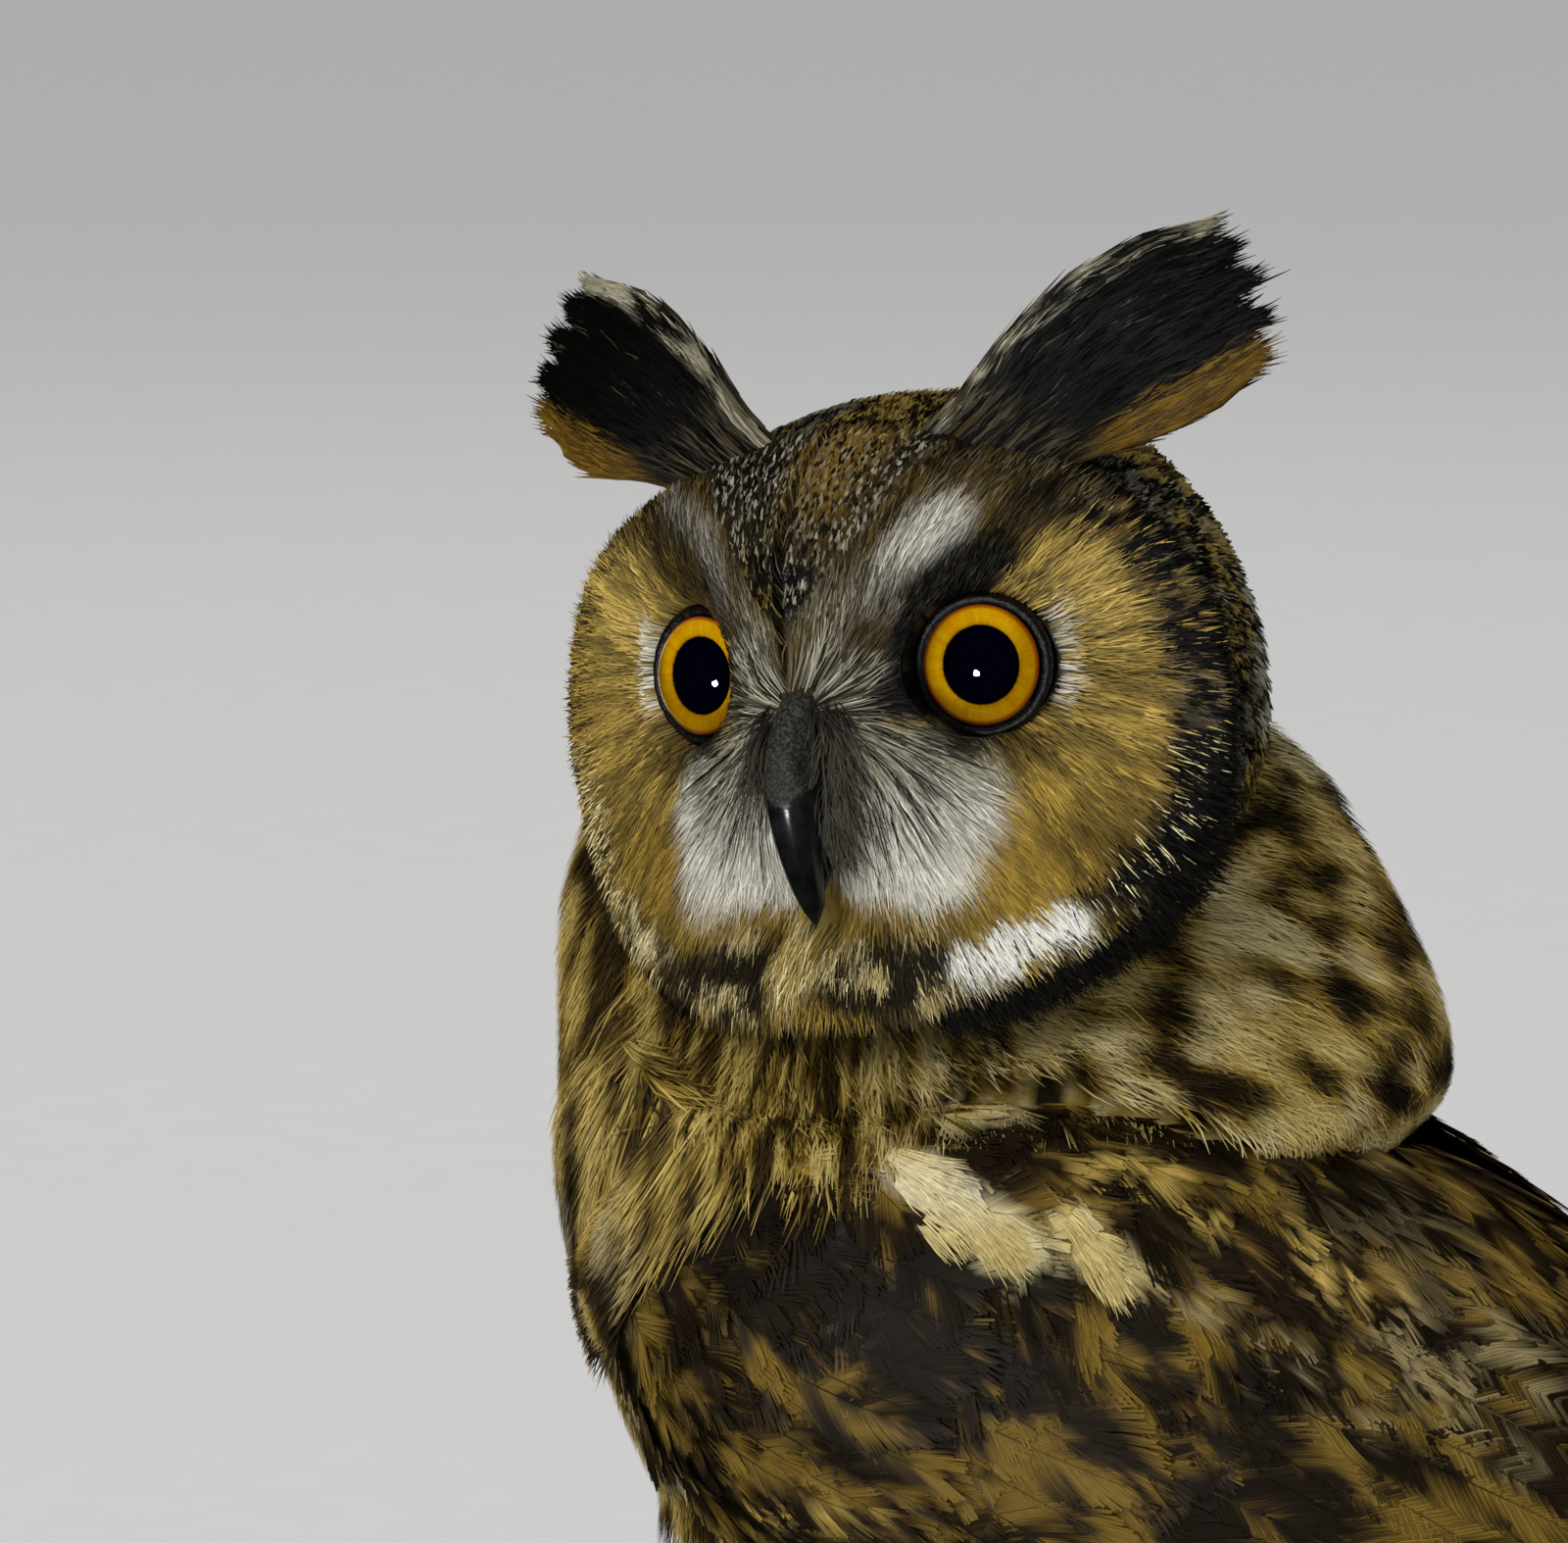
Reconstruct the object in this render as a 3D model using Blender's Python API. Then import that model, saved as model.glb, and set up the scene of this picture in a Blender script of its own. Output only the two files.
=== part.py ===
# Long-eared owl, life size, standing with the body leaning forward and the head turned to its left.
# Sizes in this file are millimetres. MM turns them into Blender's metres as each mesh is made.
# The bird heads towards -Y, its left side is +X and the floor is z = 0.

import math

import bpy
import numpy as np

MM = 0.001
GAP = 0.3

# Stance. The head's middle is above the origin until the last step centres the whole bird.
HEAD_HEIGHT = 222.0
HEAD_TURN = 72.0
HEAD_PITCH = 4.0
HEAD_ROLL = 5.6
HEAD_SHIFT = (0.0, -0.4, 1.1)
BODY_PITCH = 35.0
CHEST = (0.0, -47.8, HEAD_HEIGHT - 35.9)

# Head and face, in the head's own frame of forward, left and up.
FACE_HALF_WIDTH = 45.0
FACE_ABOVE = 34.0
FACE_BELOW = 35.5
FACE_MIDDLE_UP = -5.0
FACE_FRONT = 41.0
FACE_SIDE_DROP = 26.0
FOREHEAD_START = 12.0
CHIN_UP = -28.0
CHIN_DROP = 9.0
NAPE_BACK = -38.0
CROWN_RISE = 11.0
EYE_SIDE = 20.1
EYE_UP = 0.8
EYE_FORWARD = 27.3
EYE_SPLAY = 12.0
EYEBALL_RADIUS = 9.4
IRIS_RADIUS = 7.4
LID_RADIUS = 8.5
LID_THICK = 1.25
RIM_LOCKS = 28

# Bill, as the culmen's line from the base to the hooked tip: forward, up, half width, depth.
BILL_STATIONS = (
    (37.0, 1.0, 4.2, 7.0),
    (41.5, -4.0, 4.6, 8.6),
    (44.6, -10.0, 4.7, 10.2),
    (44.6, -16.0, 4.4, 9.8),
    (43.2, -21.5, 3.6, 7.6),
    (41.0, -26.5, 2.6, 4.6),
    (38.6, -30.5, 1.3, 2.0),
)

# Torso, by distance from the chest along the body's axis: half width, back, belly.
TORSO_AT = (0.0, 8.0, 20.0, 35.0, 50.0, 70.0, 85.0, 120.0, 150.0, 180.0, 200.0)
TORSO_WIDE = (9.0, 22.0, 36.0, 43.0, 47.0, 49.5, 50.0, 46.0, 37.0, 23.0, 9.0)
TORSO_BACK = (3.0, 3.5, 5.0, 12.0, 23.0, 35.5, 41.0, 45.0, 40.0, 25.0, 8.0)
TORSO_BELLY = (6.0, 16.0, 29.0, 41.0, 50.0, 54.5, 55.0, 48.0, 35.0, 20.0, 7.0)

# Neck, by height above the head's middle: its left and right edges along X, front and back along Y.
# The left edge draws in towards the top to stay behind the face.
NECK_AT = (-100.0, -78.0, -62.0, -52.0, -44.0, -30.0, -16.0, -4.0)
NECK_LEFT = (36.0, 49.0, 51.5, 46.0, 36.0, 20.0, 2.0, -12.0)
NECK_RIGHT = (-36.0, -48.0, -51.0, -51.0, -50.0, -47.0, -43.0, -36.0)
NECK_FRONT = (-36.0, -45.5, -48.5, -50.0, -51.5, -52.5, -48.0, -36.0)
NECK_BACK = (14.0, 34.0, 52.0, 63.0, 62.5, 55.5, 46.0, 34.0)

# Wing, by distance from the chest: thickness of the arm, and where its lower and upper edges lie
# round the body, in degrees up from the side.
WING_AT = (26.0, 50.0, 80.0, 120.0, 150.0, 185.0)
WING_THICK = (7.0, 8.5, 7.0, 5.0, 3.4, 2.0)
WING_LOW = (-50.0, -46.0, -40.0, -31.0, -18.0, 6.0)
WING_HIGH = (20.0, 48.0, 62.0, 66.0, 70.0, 74.0)
WING_ROOT = 26.0
WING_ARM_END = 178.0

# What the folded wings lie on behind the torso: half width and height over the tail.
REAR_AT = (150.0, 180.0, 210.0, 240.0, 270.0, 300.0)
REAR_WIDE = (37.0, 27.5, 21.0, 16.5, 13.5, 11.0)
REAR_BACK = (40.0, 29.5, 21.0, 15.5, 12.0, 9.5)

TAIL_LENGTH = 142.0
TAIL_ROOT = 160.0
TAIL_FEATHERS = 12

LEG_SIDE = 22.0
FOOT_Y = 26.0
ANKLE = 12.0
TOE_RADIUS = 3.6
CLAW_LENGTH = 14.0

VANE_THICK = 0.6

COLOURS = {
    "buff": (0.42, 0.28, 0.10, 1.0),
    "brown": (0.16, 0.11, 0.06, 1.0),
    "face": (0.50, 0.34, 0.14, 1.0),
    "tuft": (0.06, 0.04, 0.03, 1.0),
    "bill": (0.03, 0.03, 0.035, 1.0),
    "eye": (0.85, 0.38, 0.02, 1.0),
    "leg": (0.55, 0.40, 0.20, 1.0),
}
ROUGHNESS = {"bill": 0.25, "eye": 0.08}


def direction(vector):
    vector = np.asarray(vector, float)
    return vector / np.linalg.norm(vector)


def smooth_through(at, values, where):
    """A cubic through the stations, with the slope at each taken from its neighbours."""
    at = np.asarray(at, float)
    values = np.asarray(values, float)
    slopes = np.gradient(values, at)
    where = np.clip(where, at[0], at[-1])
    i = np.clip(np.searchsorted(at, where, side="right") - 1, 0, len(at) - 2)
    step = at[i + 1] - at[i]
    t = (where - at[i]) / step
    rise = (values[i + 1] - values[i]) * t * t * (3 - 2 * t)
    bend = step * t * (1 - t) * ((1 - t) * slopes[i] - t * slopes[i + 1])
    return values[i] + rise + bend


# Frames of the head and the body.

turn = math.radians(HEAD_TURN)
pitch = math.radians(HEAD_PITCH)
roll = math.radians(HEAD_ROLL)
HEAD_FORWARD = direction((math.sin(turn) * math.cos(pitch), -math.cos(turn) * math.cos(pitch), math.sin(pitch)))
level_left = np.array((math.cos(turn), math.sin(turn), 0.0))
level_up = np.cross(HEAD_FORWARD, level_left)
HEAD_LEFT = level_left * math.cos(roll) + level_up * math.sin(roll)
HEAD_UP = level_up * math.cos(roll) - level_left * math.sin(roll)
HEAD_MIDDLE = np.array((0.0, 0.0, HEAD_HEIGHT)) + HEAD_SHIFT

body_pitch = math.radians(BODY_PITCH)
BODY_ALONG = np.array((0.0, math.cos(body_pitch), -math.sin(body_pitch)))
BODY_DORSAL = np.array((0.0, math.sin(body_pitch), math.cos(body_pitch)))
SIDEWAYS = np.array((1.0, 0.0, 0.0))


def stack(*parts):
    """Points with a last axis of three, from their three coordinates."""
    return np.stack(np.broadcast_arrays(*parts), axis=-1).astype(float)


def head_place(forward, left, up):
    local = stack(forward, left, up)
    return HEAD_MIDDLE + local @ np.array((HEAD_FORWARD, HEAD_LEFT, HEAD_UP))


def body_place(along, side, dorsal):
    local = stack(along, side, dorsal)
    return np.array(CHEST) + local @ np.array((BODY_ALONG, SIDEWAYS, BODY_DORSAL))


# Surfaces, each a function of two parameters.


def face_forward(left, up):
    """How far forward the face's surface is: a ridge down the middle that falls away to both sides.

    Behind the bill's hook it is hollowed for the chin.
    """
    low = np.clip((FACE_MIDDLE_UP - up) / FACE_BELOW, 0, 1)
    power = 0.85 + 0.75 * low * low * (3 - 2 * low)
    side = np.clip(np.abs(left) / FACE_HALF_WIDTH, 0, 1.05)
    forehead = np.clip(up - FOREHEAD_START, 0, None)
    chin = np.exp(-(((up - CHIN_UP) / 8.0) ** 2) - (left / 9.0) ** 2)
    return FACE_FRONT - FACE_SIDE_DROP * side**power - 0.045 * forehead**2 - CHIN_DROP * chin


def face_outline(around):
    """Left and up of the facial disc's rim at an angle round its middle, a slightly squared oval."""
    c = np.cos(around)
    s = np.sin(around)
    left = FACE_HALF_WIDTH * np.sign(c) * np.abs(c) ** 0.9
    tall = np.where(s > 0, FACE_ABOVE, FACE_BELOW)
    return left, tall * np.sign(s) * np.abs(s) ** 0.95


def head_surface(across, around, grow=0.0):
    """The face for across 0 to 1, from its middle to the rim, and the skull to the nape for 1 to 2."""
    left, up = face_outline(around)
    share = np.clip(across, 0, 1)
    back = np.clip(across - 1, 0, 1) * math.pi / 2
    size = share * np.cos(back) + grow / FACE_HALF_WIDTH * np.minimum(share * 2, 1)
    rim = face_forward(left * share, up * share + FACE_MIDDLE_UP)
    forward = rim + (NAPE_BACK - rim) * np.sin(back)
    forward = forward + grow * np.cos(np.minimum(across, 1.0) * 0.8) - 2 * grow * np.sin(back)
    crown = CROWN_RISE * np.sin(2 * back) * np.clip(np.sin(around), 0, 1)
    return head_place(forward, left * size, up * size + FACE_MIDDLE_UP + crown)


def torso_radii(along):
    wide = smooth_through(TORSO_AT, TORSO_WIDE, along)
    back = smooth_through(TORSO_AT, TORSO_BACK, along)
    belly = smooth_through(TORSO_AT, TORSO_BELLY, along)
    return wide, back, belly


def torso_surface(along, around, grow=0.0):
    """Around is 0 at the bird's left side, a quarter turn at the back."""
    wide, back, belly = torso_radii(along)
    tall = np.where(np.sin(around) > 0, back, belly)
    side = (wide + grow) * np.cos(around)
    return body_place(along, side, (tall + grow) * np.sin(around))


def wing_bed(along, around, out):
    """The surface that a folded wing lies on, moved out by a distance."""
    wide, back, belly = torso_radii(along)
    wide = np.where(along > REAR_AT[0], smooth_through(REAR_AT, REAR_WIDE, along), wide)
    back = np.where(along > REAR_AT[0], smooth_through(REAR_AT, REAR_BACK, along), back)
    belly = np.where(along > REAR_AT[0], back, belly)
    tall = np.where(np.sin(around) > 0, back, belly)
    return body_place(along, (wide + out) * np.cos(around), (tall + out) * np.sin(around))


def wing_chart(along, up):
    """The angle round the body of a place on the wing, for up 0 at its lower edge to 1 at its upper."""
    low = np.interp(along, (*WING_AT, 240.0, 300.0), (*WING_LOW, 34.0, 56.0))
    high = np.interp(along, (*WING_AT, 240.0, 300.0), (*WING_HIGH, 78.0, 80.0))
    return np.radians(low + up * (high - low))


def wing_place(along, up, out, side=1):
    """A place over the left wing's bed or, with side -1, the right's."""
    return wing_bed(along, wing_chart(along, up), out) * np.array((side, 1, 1))


def neck_surface(height, around, grow=0.0):
    """Around is 0 at +X and a quarter turn at the back of the neck."""
    left = smooth_through(NECK_AT, NECK_LEFT, height)
    right = smooth_through(NECK_AT, NECK_RIGHT, height)
    front = smooth_through(NECK_AT, NECK_FRONT, height)
    back = smooth_through(NECK_AT, NECK_BACK, height)
    x = (left + right) / 2 + ((left - right) / 2 + grow) * np.cos(around)
    y = (front + back) / 2 + ((back - front) / 2 + grow) * np.sin(around)
    return stack(x, y, HEAD_HEIGHT + height)


# Meshes.


def material(name):
    found = bpy.data.materials.get(name)
    if found:
        return found
    made = bpy.data.materials.new(name)
    made.use_nodes = True
    shader = made.node_tree.nodes["Principled BSDF"]
    shader.inputs["Base Color"].default_value = COLOURS[name]
    shader.inputs["Roughness"].default_value = ROUGHNESS.get(name, 0.8)
    shader.inputs["Metallic"].default_value = 0.0
    return made


def mesh_object(name, points, faces, finish="buff"):
    """An object of triangles whose faces point outwards."""
    points = np.asarray(points, float)
    faces = np.asarray(faces, int)
    corners = points[faces] - points.mean(0)
    if np.linalg.det(corners).sum() < 0:
        faces = faces[:, ::-1]
    mesh = bpy.data.meshes.new(name)
    mesh.from_pydata((points * MM).tolist(), [], faces.tolist())
    mesh.materials.append(material(finish))
    mesh.shade_smooth()
    mesh.set_sharp_from_angle(angle=math.radians(50))
    made = bpy.data.objects.new(name, mesh)
    bpy.context.scene.collection.objects.link(made)
    return made


def ring_faces(rings, sides):
    """Triangles between the rings of a tube, each ring closed on itself."""
    ring = np.arange(rings - 1)[:, None] * sides
    side = np.arange(sides)[None, :]
    after = (side + 1) % sides
    a, b, c, d = ring + side, ring + after, ring + sides + after, ring + sides + side
    return np.concatenate([stack(a, b, c).reshape(-1, 3), stack(a, c, d).reshape(-1, 3)]).astype(int)


def ring_solid(name, rings, finish="buff"):
    """A closed solid through an array of rings, with each end closed by a fan to its middle."""
    count, sides, _ = rings.shape
    ends = np.stack([rings[0].mean(0), rings[-1].mean(0)])
    points = np.concatenate([rings.reshape(-1, 3), ends])
    side = np.arange(sides)
    after = (side + 1) % sides
    first, last = count * sides, count * sides + 1
    start = stack(after, side, np.full(sides, first)).astype(int)
    stop = stack(side, after, np.full(sides, last)).astype(int) + 0
    stop[:, :2] += (count - 1) * sides
    faces = np.concatenate([ring_faces(count, sides), start, stop])
    return mesh_object(name, points, faces, finish)


def slab_solid(name, outer, inner, finish="brown"):
    """A closed thin solid between two grids of the same shape, split into triangles alike on both."""
    rows, columns, _ = outer.shape
    size = rows * columns
    points = np.concatenate([outer.reshape(-1, 3), inner.reshape(-1, 3)])
    index = np.arange(size).reshape(rows, columns)
    a, b, c, d = index[:-1, :-1], index[:-1, 1:], index[1:, 1:], index[1:, :-1]
    sheet = np.concatenate([stack(a, b, c).reshape(-1, 3), stack(a, c, d).reshape(-1, 3)]).astype(int)
    edge = np.concatenate([index[0, :], index[1:, -1], index[-1, -2::-1], index[-2:0:-1, 0]])
    after = np.roll(edge, -1)
    wall = np.concatenate([stack(after, edge, edge + size), stack(after, edge + size, after + size)])
    faces = np.concatenate([sheet, sheet[:, ::-1] + size, wall.astype(int)])
    return mesh_object(name, points, faces, finish)


def vane(name, spine, normal, half_width, thick=VANE_THICK, tilt=0.0, camber=0.0, finish="brown"):
    """A feather's vane or a flat lock: a slab along a spine of points, tapered and tilted over its width.

    Tilt lifts its +side edge and lowers the other, so that neighbours lie like shingles.
    """
    along = np.gradient(spine, axis=0)
    along /= np.linalg.norm(along, axis=1)[:, None]
    across = np.cross(normal, along)
    across /= np.linalg.norm(across, axis=1)[:, None]
    square = np.cross(along, across)
    share = np.array((-1.0, 0.0, 1.0)) if camber else np.array((-1.0, 1.0))
    offset = half_width[:, None, None] * share[None, :, None] * across[:, None, :]
    lift = tilt * share + camber * (1 - share**2)
    middle = spine[:, None, :] + offset + lift[None, :, None] * square[:, None, :]
    taper = np.linspace(1.0, 0.6, len(spine))[:, None, None]
    half = 0.5 * thick * taper * square[:, None, :]
    return slab_solid(name, middle + half, middle - half, finish)


def mirrored(points):
    return points * np.array((-1.0, 1.0, 1.0))


# Booleans.


def triangles_of(mesh):
    mesh.calc_loop_triangles()
    faces = np.empty(len(mesh.loop_triangles) * 3, int)
    mesh.loop_triangles.foreach_get("vertices", faces)
    points = np.empty(len(mesh.vertices) * 3)
    mesh.vertices.foreach_get("co", points)
    return points.reshape(-1, 3) / MM, faces.reshape(-1, 3)


def edges_of(faces):
    """Each face's three edges as numbers, and how many faces use each edge."""
    pairs = np.sort(np.concatenate([faces[:, [0, 1]], faces[:, [1, 2]], faces[:, [2, 0]]]), axis=1)
    _, number, uses = np.unique(pairs, axis=0, return_inverse=True, return_counts=True)
    return number.reshape(3, -1), uses


def largest_shell(points, faces):
    """The faces of the closed surface that holds most, found by passing labels over shared edges."""
    number, uses = edges_of(faces)
    label = np.arange(len(faces))
    while True:
        before = label
        least = np.full(len(uses), len(faces))
        np.minimum.at(least, number, np.broadcast_to(label, number.shape))
        label = np.minimum(label, least[number].min(0))
        label = label[label]
        if (label == before).all():
            break
    held = {shell: np.linalg.det(points[faces[label == shell]]).sum() for shell in np.unique(label)}
    return faces[label == max(held, key=held.get)]


def combine(obj, others, operation):
    """Joins the others to the object, or cuts them from it, and removes them.

    Only the largest closed surface is kept. The second solver is for a case the first leaves open.
    """
    group = bpy.data.collections.new("tools")
    bpy.context.scene.collection.children.link(group)
    for other in others:
        bpy.context.scene.collection.objects.unlink(other)
        group.objects.link(other)
    modifier = obj.modifiers.new(operation.lower(), "BOOLEAN")
    modifier.operation = operation
    modifier.operand_type = "COLLECTION"
    modifier.collection = group
    found = []
    for solver in ("EXACT", "MANIFOLD"):
        modifier.solver = solver
        graph = bpy.context.evaluated_depsgraph_get()
        mesh = bpy.data.meshes.new_from_object(obj.evaluated_get(graph))
        points, faces = triangles_of(mesh)
        bpy.data.meshes.remove(mesh)
        if len(faces):
            faces = largest_shell(points, faces)
            _, uses = edges_of(faces)
            found.append(((uses != 2).sum(), len(found), points, faces))
            if found[-1][0] == 0:
                break
    _, _, points, faces = min(found, key=lambda result: result[:2])
    used, faces = np.unique(faces, return_inverse=True)
    finish = obj.data.materials[0].name
    name = obj.name
    for unused in (obj, *others):
        bpy.data.objects.remove(unused)
    bpy.data.collections.remove(group)
    return mesh_object(name, points[used], faces.reshape(-1, 3), finish)


# Head.


def circle(sides, start=0.0):
    return start + np.arange(sides) * 2 * math.pi / sides


def head_solid(name, grow=0.0):
    face = np.array((0.07, 0.3, 0.55, 0.8, 1.0))
    skull = 1 + np.array((0.09, 0.25, 0.43, 0.62, 0.8, 0.94))
    across = np.concatenate([face, skull])[:, None]
    return ring_solid(name, head_surface(across, circle(24)[None, :], grow), "face")


def eye_axis(side):
    splay = math.radians(EYE_SPLAY)
    return direction(HEAD_FORWARD * math.cos(splay) + side * HEAD_LEFT * math.sin(splay))


def eye_middle(side):
    iris = head_place(EYE_FORWARD, side * EYE_SIDE, EYE_UP)
    return iris - eye_axis(side) * math.sqrt(EYEBALL_RADIUS**2 - IRIS_RADIUS**2)


def turned_rings(middle, axis, profile, sides):
    """Rings round an axis from a profile of distance along it and radius."""
    first = direction(np.cross(axis, (0.3, 0.2, 0.9)))
    second = np.cross(axis, first)
    around = circle(sides)
    spoke = np.cos(around)[:, None] * first + np.sin(around)[:, None] * second
    profile = np.asarray(profile, float)
    return middle + profile[:, None, :1] * axis + profile[:, None, 1:] * spoke[None, :, :]


def eyeball(name, side, grow=0.0):
    """A ball in front that narrows to a blunt end behind, as an owl's eye does."""
    angle = np.array((0.13, 0.42, 0.74, 1.06, 1.38, 1.7))
    radius = EYEBALL_RADIUS + grow
    profile = np.stack([radius * np.cos(angle), radius * np.sin(angle)], axis=1)
    profile = np.concatenate([profile, [(-7.5 - grow, 6.0 + grow)]])
    return ring_solid(name, turned_rings(eye_middle(side), eye_axis(side), profile, 20), "eye")


def lid_ring(side):
    """The eyelids' rim, a rounded ring that hugs the eye's front."""
    plane = math.sqrt(EYEBALL_RADIUS**2 - LID_RADIUS**2) + 0.9
    around = circle(5)
    profile = np.stack([plane + 1.7 * np.cos(around), LID_RADIUS + 0.4 + LID_THICK * np.sin(around)], axis=1)
    rings = turned_rings(eye_middle(side), eye_axis(side), profile, 18)
    count, sides, _ = rings.shape
    wrapped = np.concatenate([rings, rings[:1]])
    faces = ring_faces(count + 1, sides) % (count * sides)
    return mesh_object("lid", rings.reshape(-1, 3), faces, "face")


def bill_rings(grow=0.0):
    """Sections of the upper bill: a rounded ridge in front, flat sides, and a hollow-free back."""
    stations = np.array(BILL_STATIONS)
    forward, up, half, deep = stations.T
    run = np.gradient(np.stack([forward, up], axis=1), axis=0)
    run /= np.linalg.norm(run, axis=1)[:, None]
    inward = np.stack([run[:, 1], -run[:, 0]], axis=1)
    around = circle(12)[None, :]
    depth = (deep[:, None] + 2 * grow) * (0.5 - 0.5 * np.cos(around)) - grow
    width = (half[:, None] + grow) * np.sign(np.sin(around)) * np.abs(np.sin(around)) ** 0.8
    return head_place(
        forward[:, None] + inward[:, :1] * depth,
        width,
        up[:, None] + inward[:, 1:] * depth,
    )


def upper_bill(name, grow=0.0):
    return ring_solid(name, bill_rings(grow), "bill")


def lower_bill(name, grow=0.0):
    """The lower bill, a shorter scoop that closes up behind the hook, in sections square to its line."""
    share = np.linspace(0, 1, 6)[:, None]
    forward = 29.5 + 8.0 * share
    up = -13.0 - 14.0 * share
    half = (4.0 + grow) * (1 - 0.72 * share**2)
    tall = (2.9 + grow) * (1 - 0.62 * share)
    around = circle(12)[None, :]
    rings = head_place(
        forward + tall * np.cos(around) * 0.87,
        half * np.sin(around),
        up + tall * np.cos(around) * 0.5,
    )
    return ring_solid(name, rings, "bill")


def face_locks():
    """The stiff bristle feathers that fan from the bill's base: two brows and two moustaches."""
    made = []
    for side in (-1, 1):
        for fan, count in (((44.0, 76.0), 3), ((-72.0, -24.0), 5)):
            for i, bearing in enumerate(np.linspace(*fan, count)):
                made.append(face_lock(side, math.radians(bearing), i, fan[0] > 0))
    return made


def face_lock(side, bearing, i, brow):
    reach = (20.0 + 5.0 * math.sin(i * 1.3)) if brow else (22.0 + 3.5 * math.sin(i * 1.7))
    start = 7.5
    share = np.linspace(0, 1, 4)
    out = start + reach * share
    left = side * (3.6 + out * math.cos(bearing) * (0.85 if brow else 0.95))
    up = (-1.0 if brow else -9.0) + out * math.sin(bearing)
    lift = -1.6 + 3.0 * np.sin(share * 2.2) + 0.25 * (i % 2)
    spine = head_place(face_forward(left, up) + lift, left, up)
    normal = np.broadcast_to(eye_axis(side), spine.shape)
    half = np.array((1.7, 2.9, 2.6, 0.5))
    return vane("lock", spine, normal, half, 0.7, tilt=0.65 * side, finish="face")


def rim_locks():
    """The ruff: a ring of short stiff feathers that edges the facial disc and leans back over the head.

    It leaves room for the ear tufts and for the throat.
    """
    made = []
    for i, around in enumerate(circle(RIM_LOCKS, 0.125)):
        from_top = abs((math.degrees(around) + 90) % 360 - 180)
        if from_top > 171 or 14 < from_top < 50:
            continue
        low = np.interp(from_top, (80, 110), (0, 1))
        across = np.array((0.9, 0.99 - 0.02 * low, 1.12 - 0.09 * low))
        spine = head_surface(across, np.full(3, around))
        left, up = face_outline(np.array(around))
        out = direction(HEAD_LEFT * left + HEAD_UP * up * 1.1)
        normal = direction(HEAD_FORWARD * 0.5 + out)
        lift = np.array((-1.6, 1.7, 3.0 + 0.5 * (i % 2)))[:, None]
        spine = spine + lift * normal
        half = np.array((3.2, 4.9, 1.6))
        normal = np.broadcast_to(normal, spine.shape)
        made.append(vane("ruff", spine, normal, half, 0.7, tilt=0.75, finish="face"))
    return made


def nostril(side):
    middle = head_place(44.6, side * 4.5, -9.5)
    profile = ((-2.4, 0.3), (-1.6, 0.95), (0.0, 1.2), (1.6, 0.95), (2.4, 0.3))
    axis = direction(HEAD_LEFT * side + HEAD_FORWARD * 0.35)
    return ring_solid("nostril", turned_rings(middle, axis, profile, 8), "bill")


TUFT_ROOTS = ((15.5, 31.5), (19.0, 30.0), (22.5, 28.8), (26.0, 28.2), (29.0, 27.6))
TUFT_TIPS = ((48.1, 53.9), (50.8, 50.4), (52.9, 45.6), (53.7, 40.2), (52.1, 35.0))
TUFT_DROP = 2.5
TUFT_DRAW = 4.0
TUFT_SPREAD = 1.6


def tuft_vane(side, i):
    """One long ear-tuft feather. The first is the highest and longest, the last the low outer one."""
    step = np.linspace(0, 1, 5)
    root = TUFT_ROOTS[i]
    tip = TUFT_TIPS[i]
    left = root[0] + (tip[0] - root[0]) * step
    up = root[1] + (tip[1] - root[1]) * step + 1.2 * np.sin(step * math.pi)
    if side < 0:
        left = left + TUFT_SPREAD * (1 - step) - TUFT_DRAW * step
        up = up - TUFT_DROP * step
    forward = 20.0 - 1.0 * i - (9.0 - 1.6 * i) * step + 2.0 * np.sin(step * math.pi)
    spine = head_place(forward, side * left, up)
    normal = direction(HEAD_FORWARD + side * HEAD_LEFT * 0.3 - HEAD_UP * 0.1)
    half = np.array((2.8, 4.8, 5.4, 4.4, 0.9))
    return vane("tuft", spine, np.broadcast_to(normal, spine.shape), half, 0.7, finish="tuft")


def ear_tuft(name, side):
    """A tuft of overlapping feathers on a low fleshy root."""
    share = np.linspace(0.0, 1.0, 6)
    spine = head_place(18.0 - 5.0 * share, side * (15.0 + 18.5 * share), 31.5 - 4.0 * share)
    radii = 4.6 * np.sqrt(1.05 - (2 * share - 1) ** 2)
    core = ring_solid(name, tube_rings(spine, radii, 10, HEAD_UP), "tuft")
    core = combine(core, [tuft_vane(side, i) for i in range(len(TUFT_TIPS))], "UNION")
    return combine(core, [head_solid("head_cut", GAP)], "DIFFERENCE")


def head_parts():
    head = head_solid("head")
    head = combine(head, [lid_ring(-1), lid_ring(1), *face_locks()], "UNION")
    head = combine(head, rim_locks(), "UNION")
    cutters = [eyeball("socket", -1, GAP), eyeball("socket", 1, GAP)]
    cutters += [upper_bill("bill_cut", GAP), lower_bill("bill_cut", GAP)]
    head = combine(head, cutters, "DIFFERENCE")
    eyeball("eye_left", 1)
    eyeball("eye_right", -1)
    upper = upper_bill("bill_upper")
    combine(upper, [nostril(-1), nostril(1)], "DIFFERENCE")
    lower = lower_bill("bill_lower")
    combine(lower, [upper_bill("bill_cut", GAP)], "DIFFERENCE")
    ear_tuft("ear_tuft_left", 1)
    ear_tuft("ear_tuft_right", -1)
    return head


# Body.


def torso_solid(name, grow=0.0):
    along = np.array((0, 7, 18, 33, 52, 74, 98, 120, 141, 162, 182, 200), float)[:, None]
    return ring_solid(name, torso_surface(along, circle(24)[None, :], grow))


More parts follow.
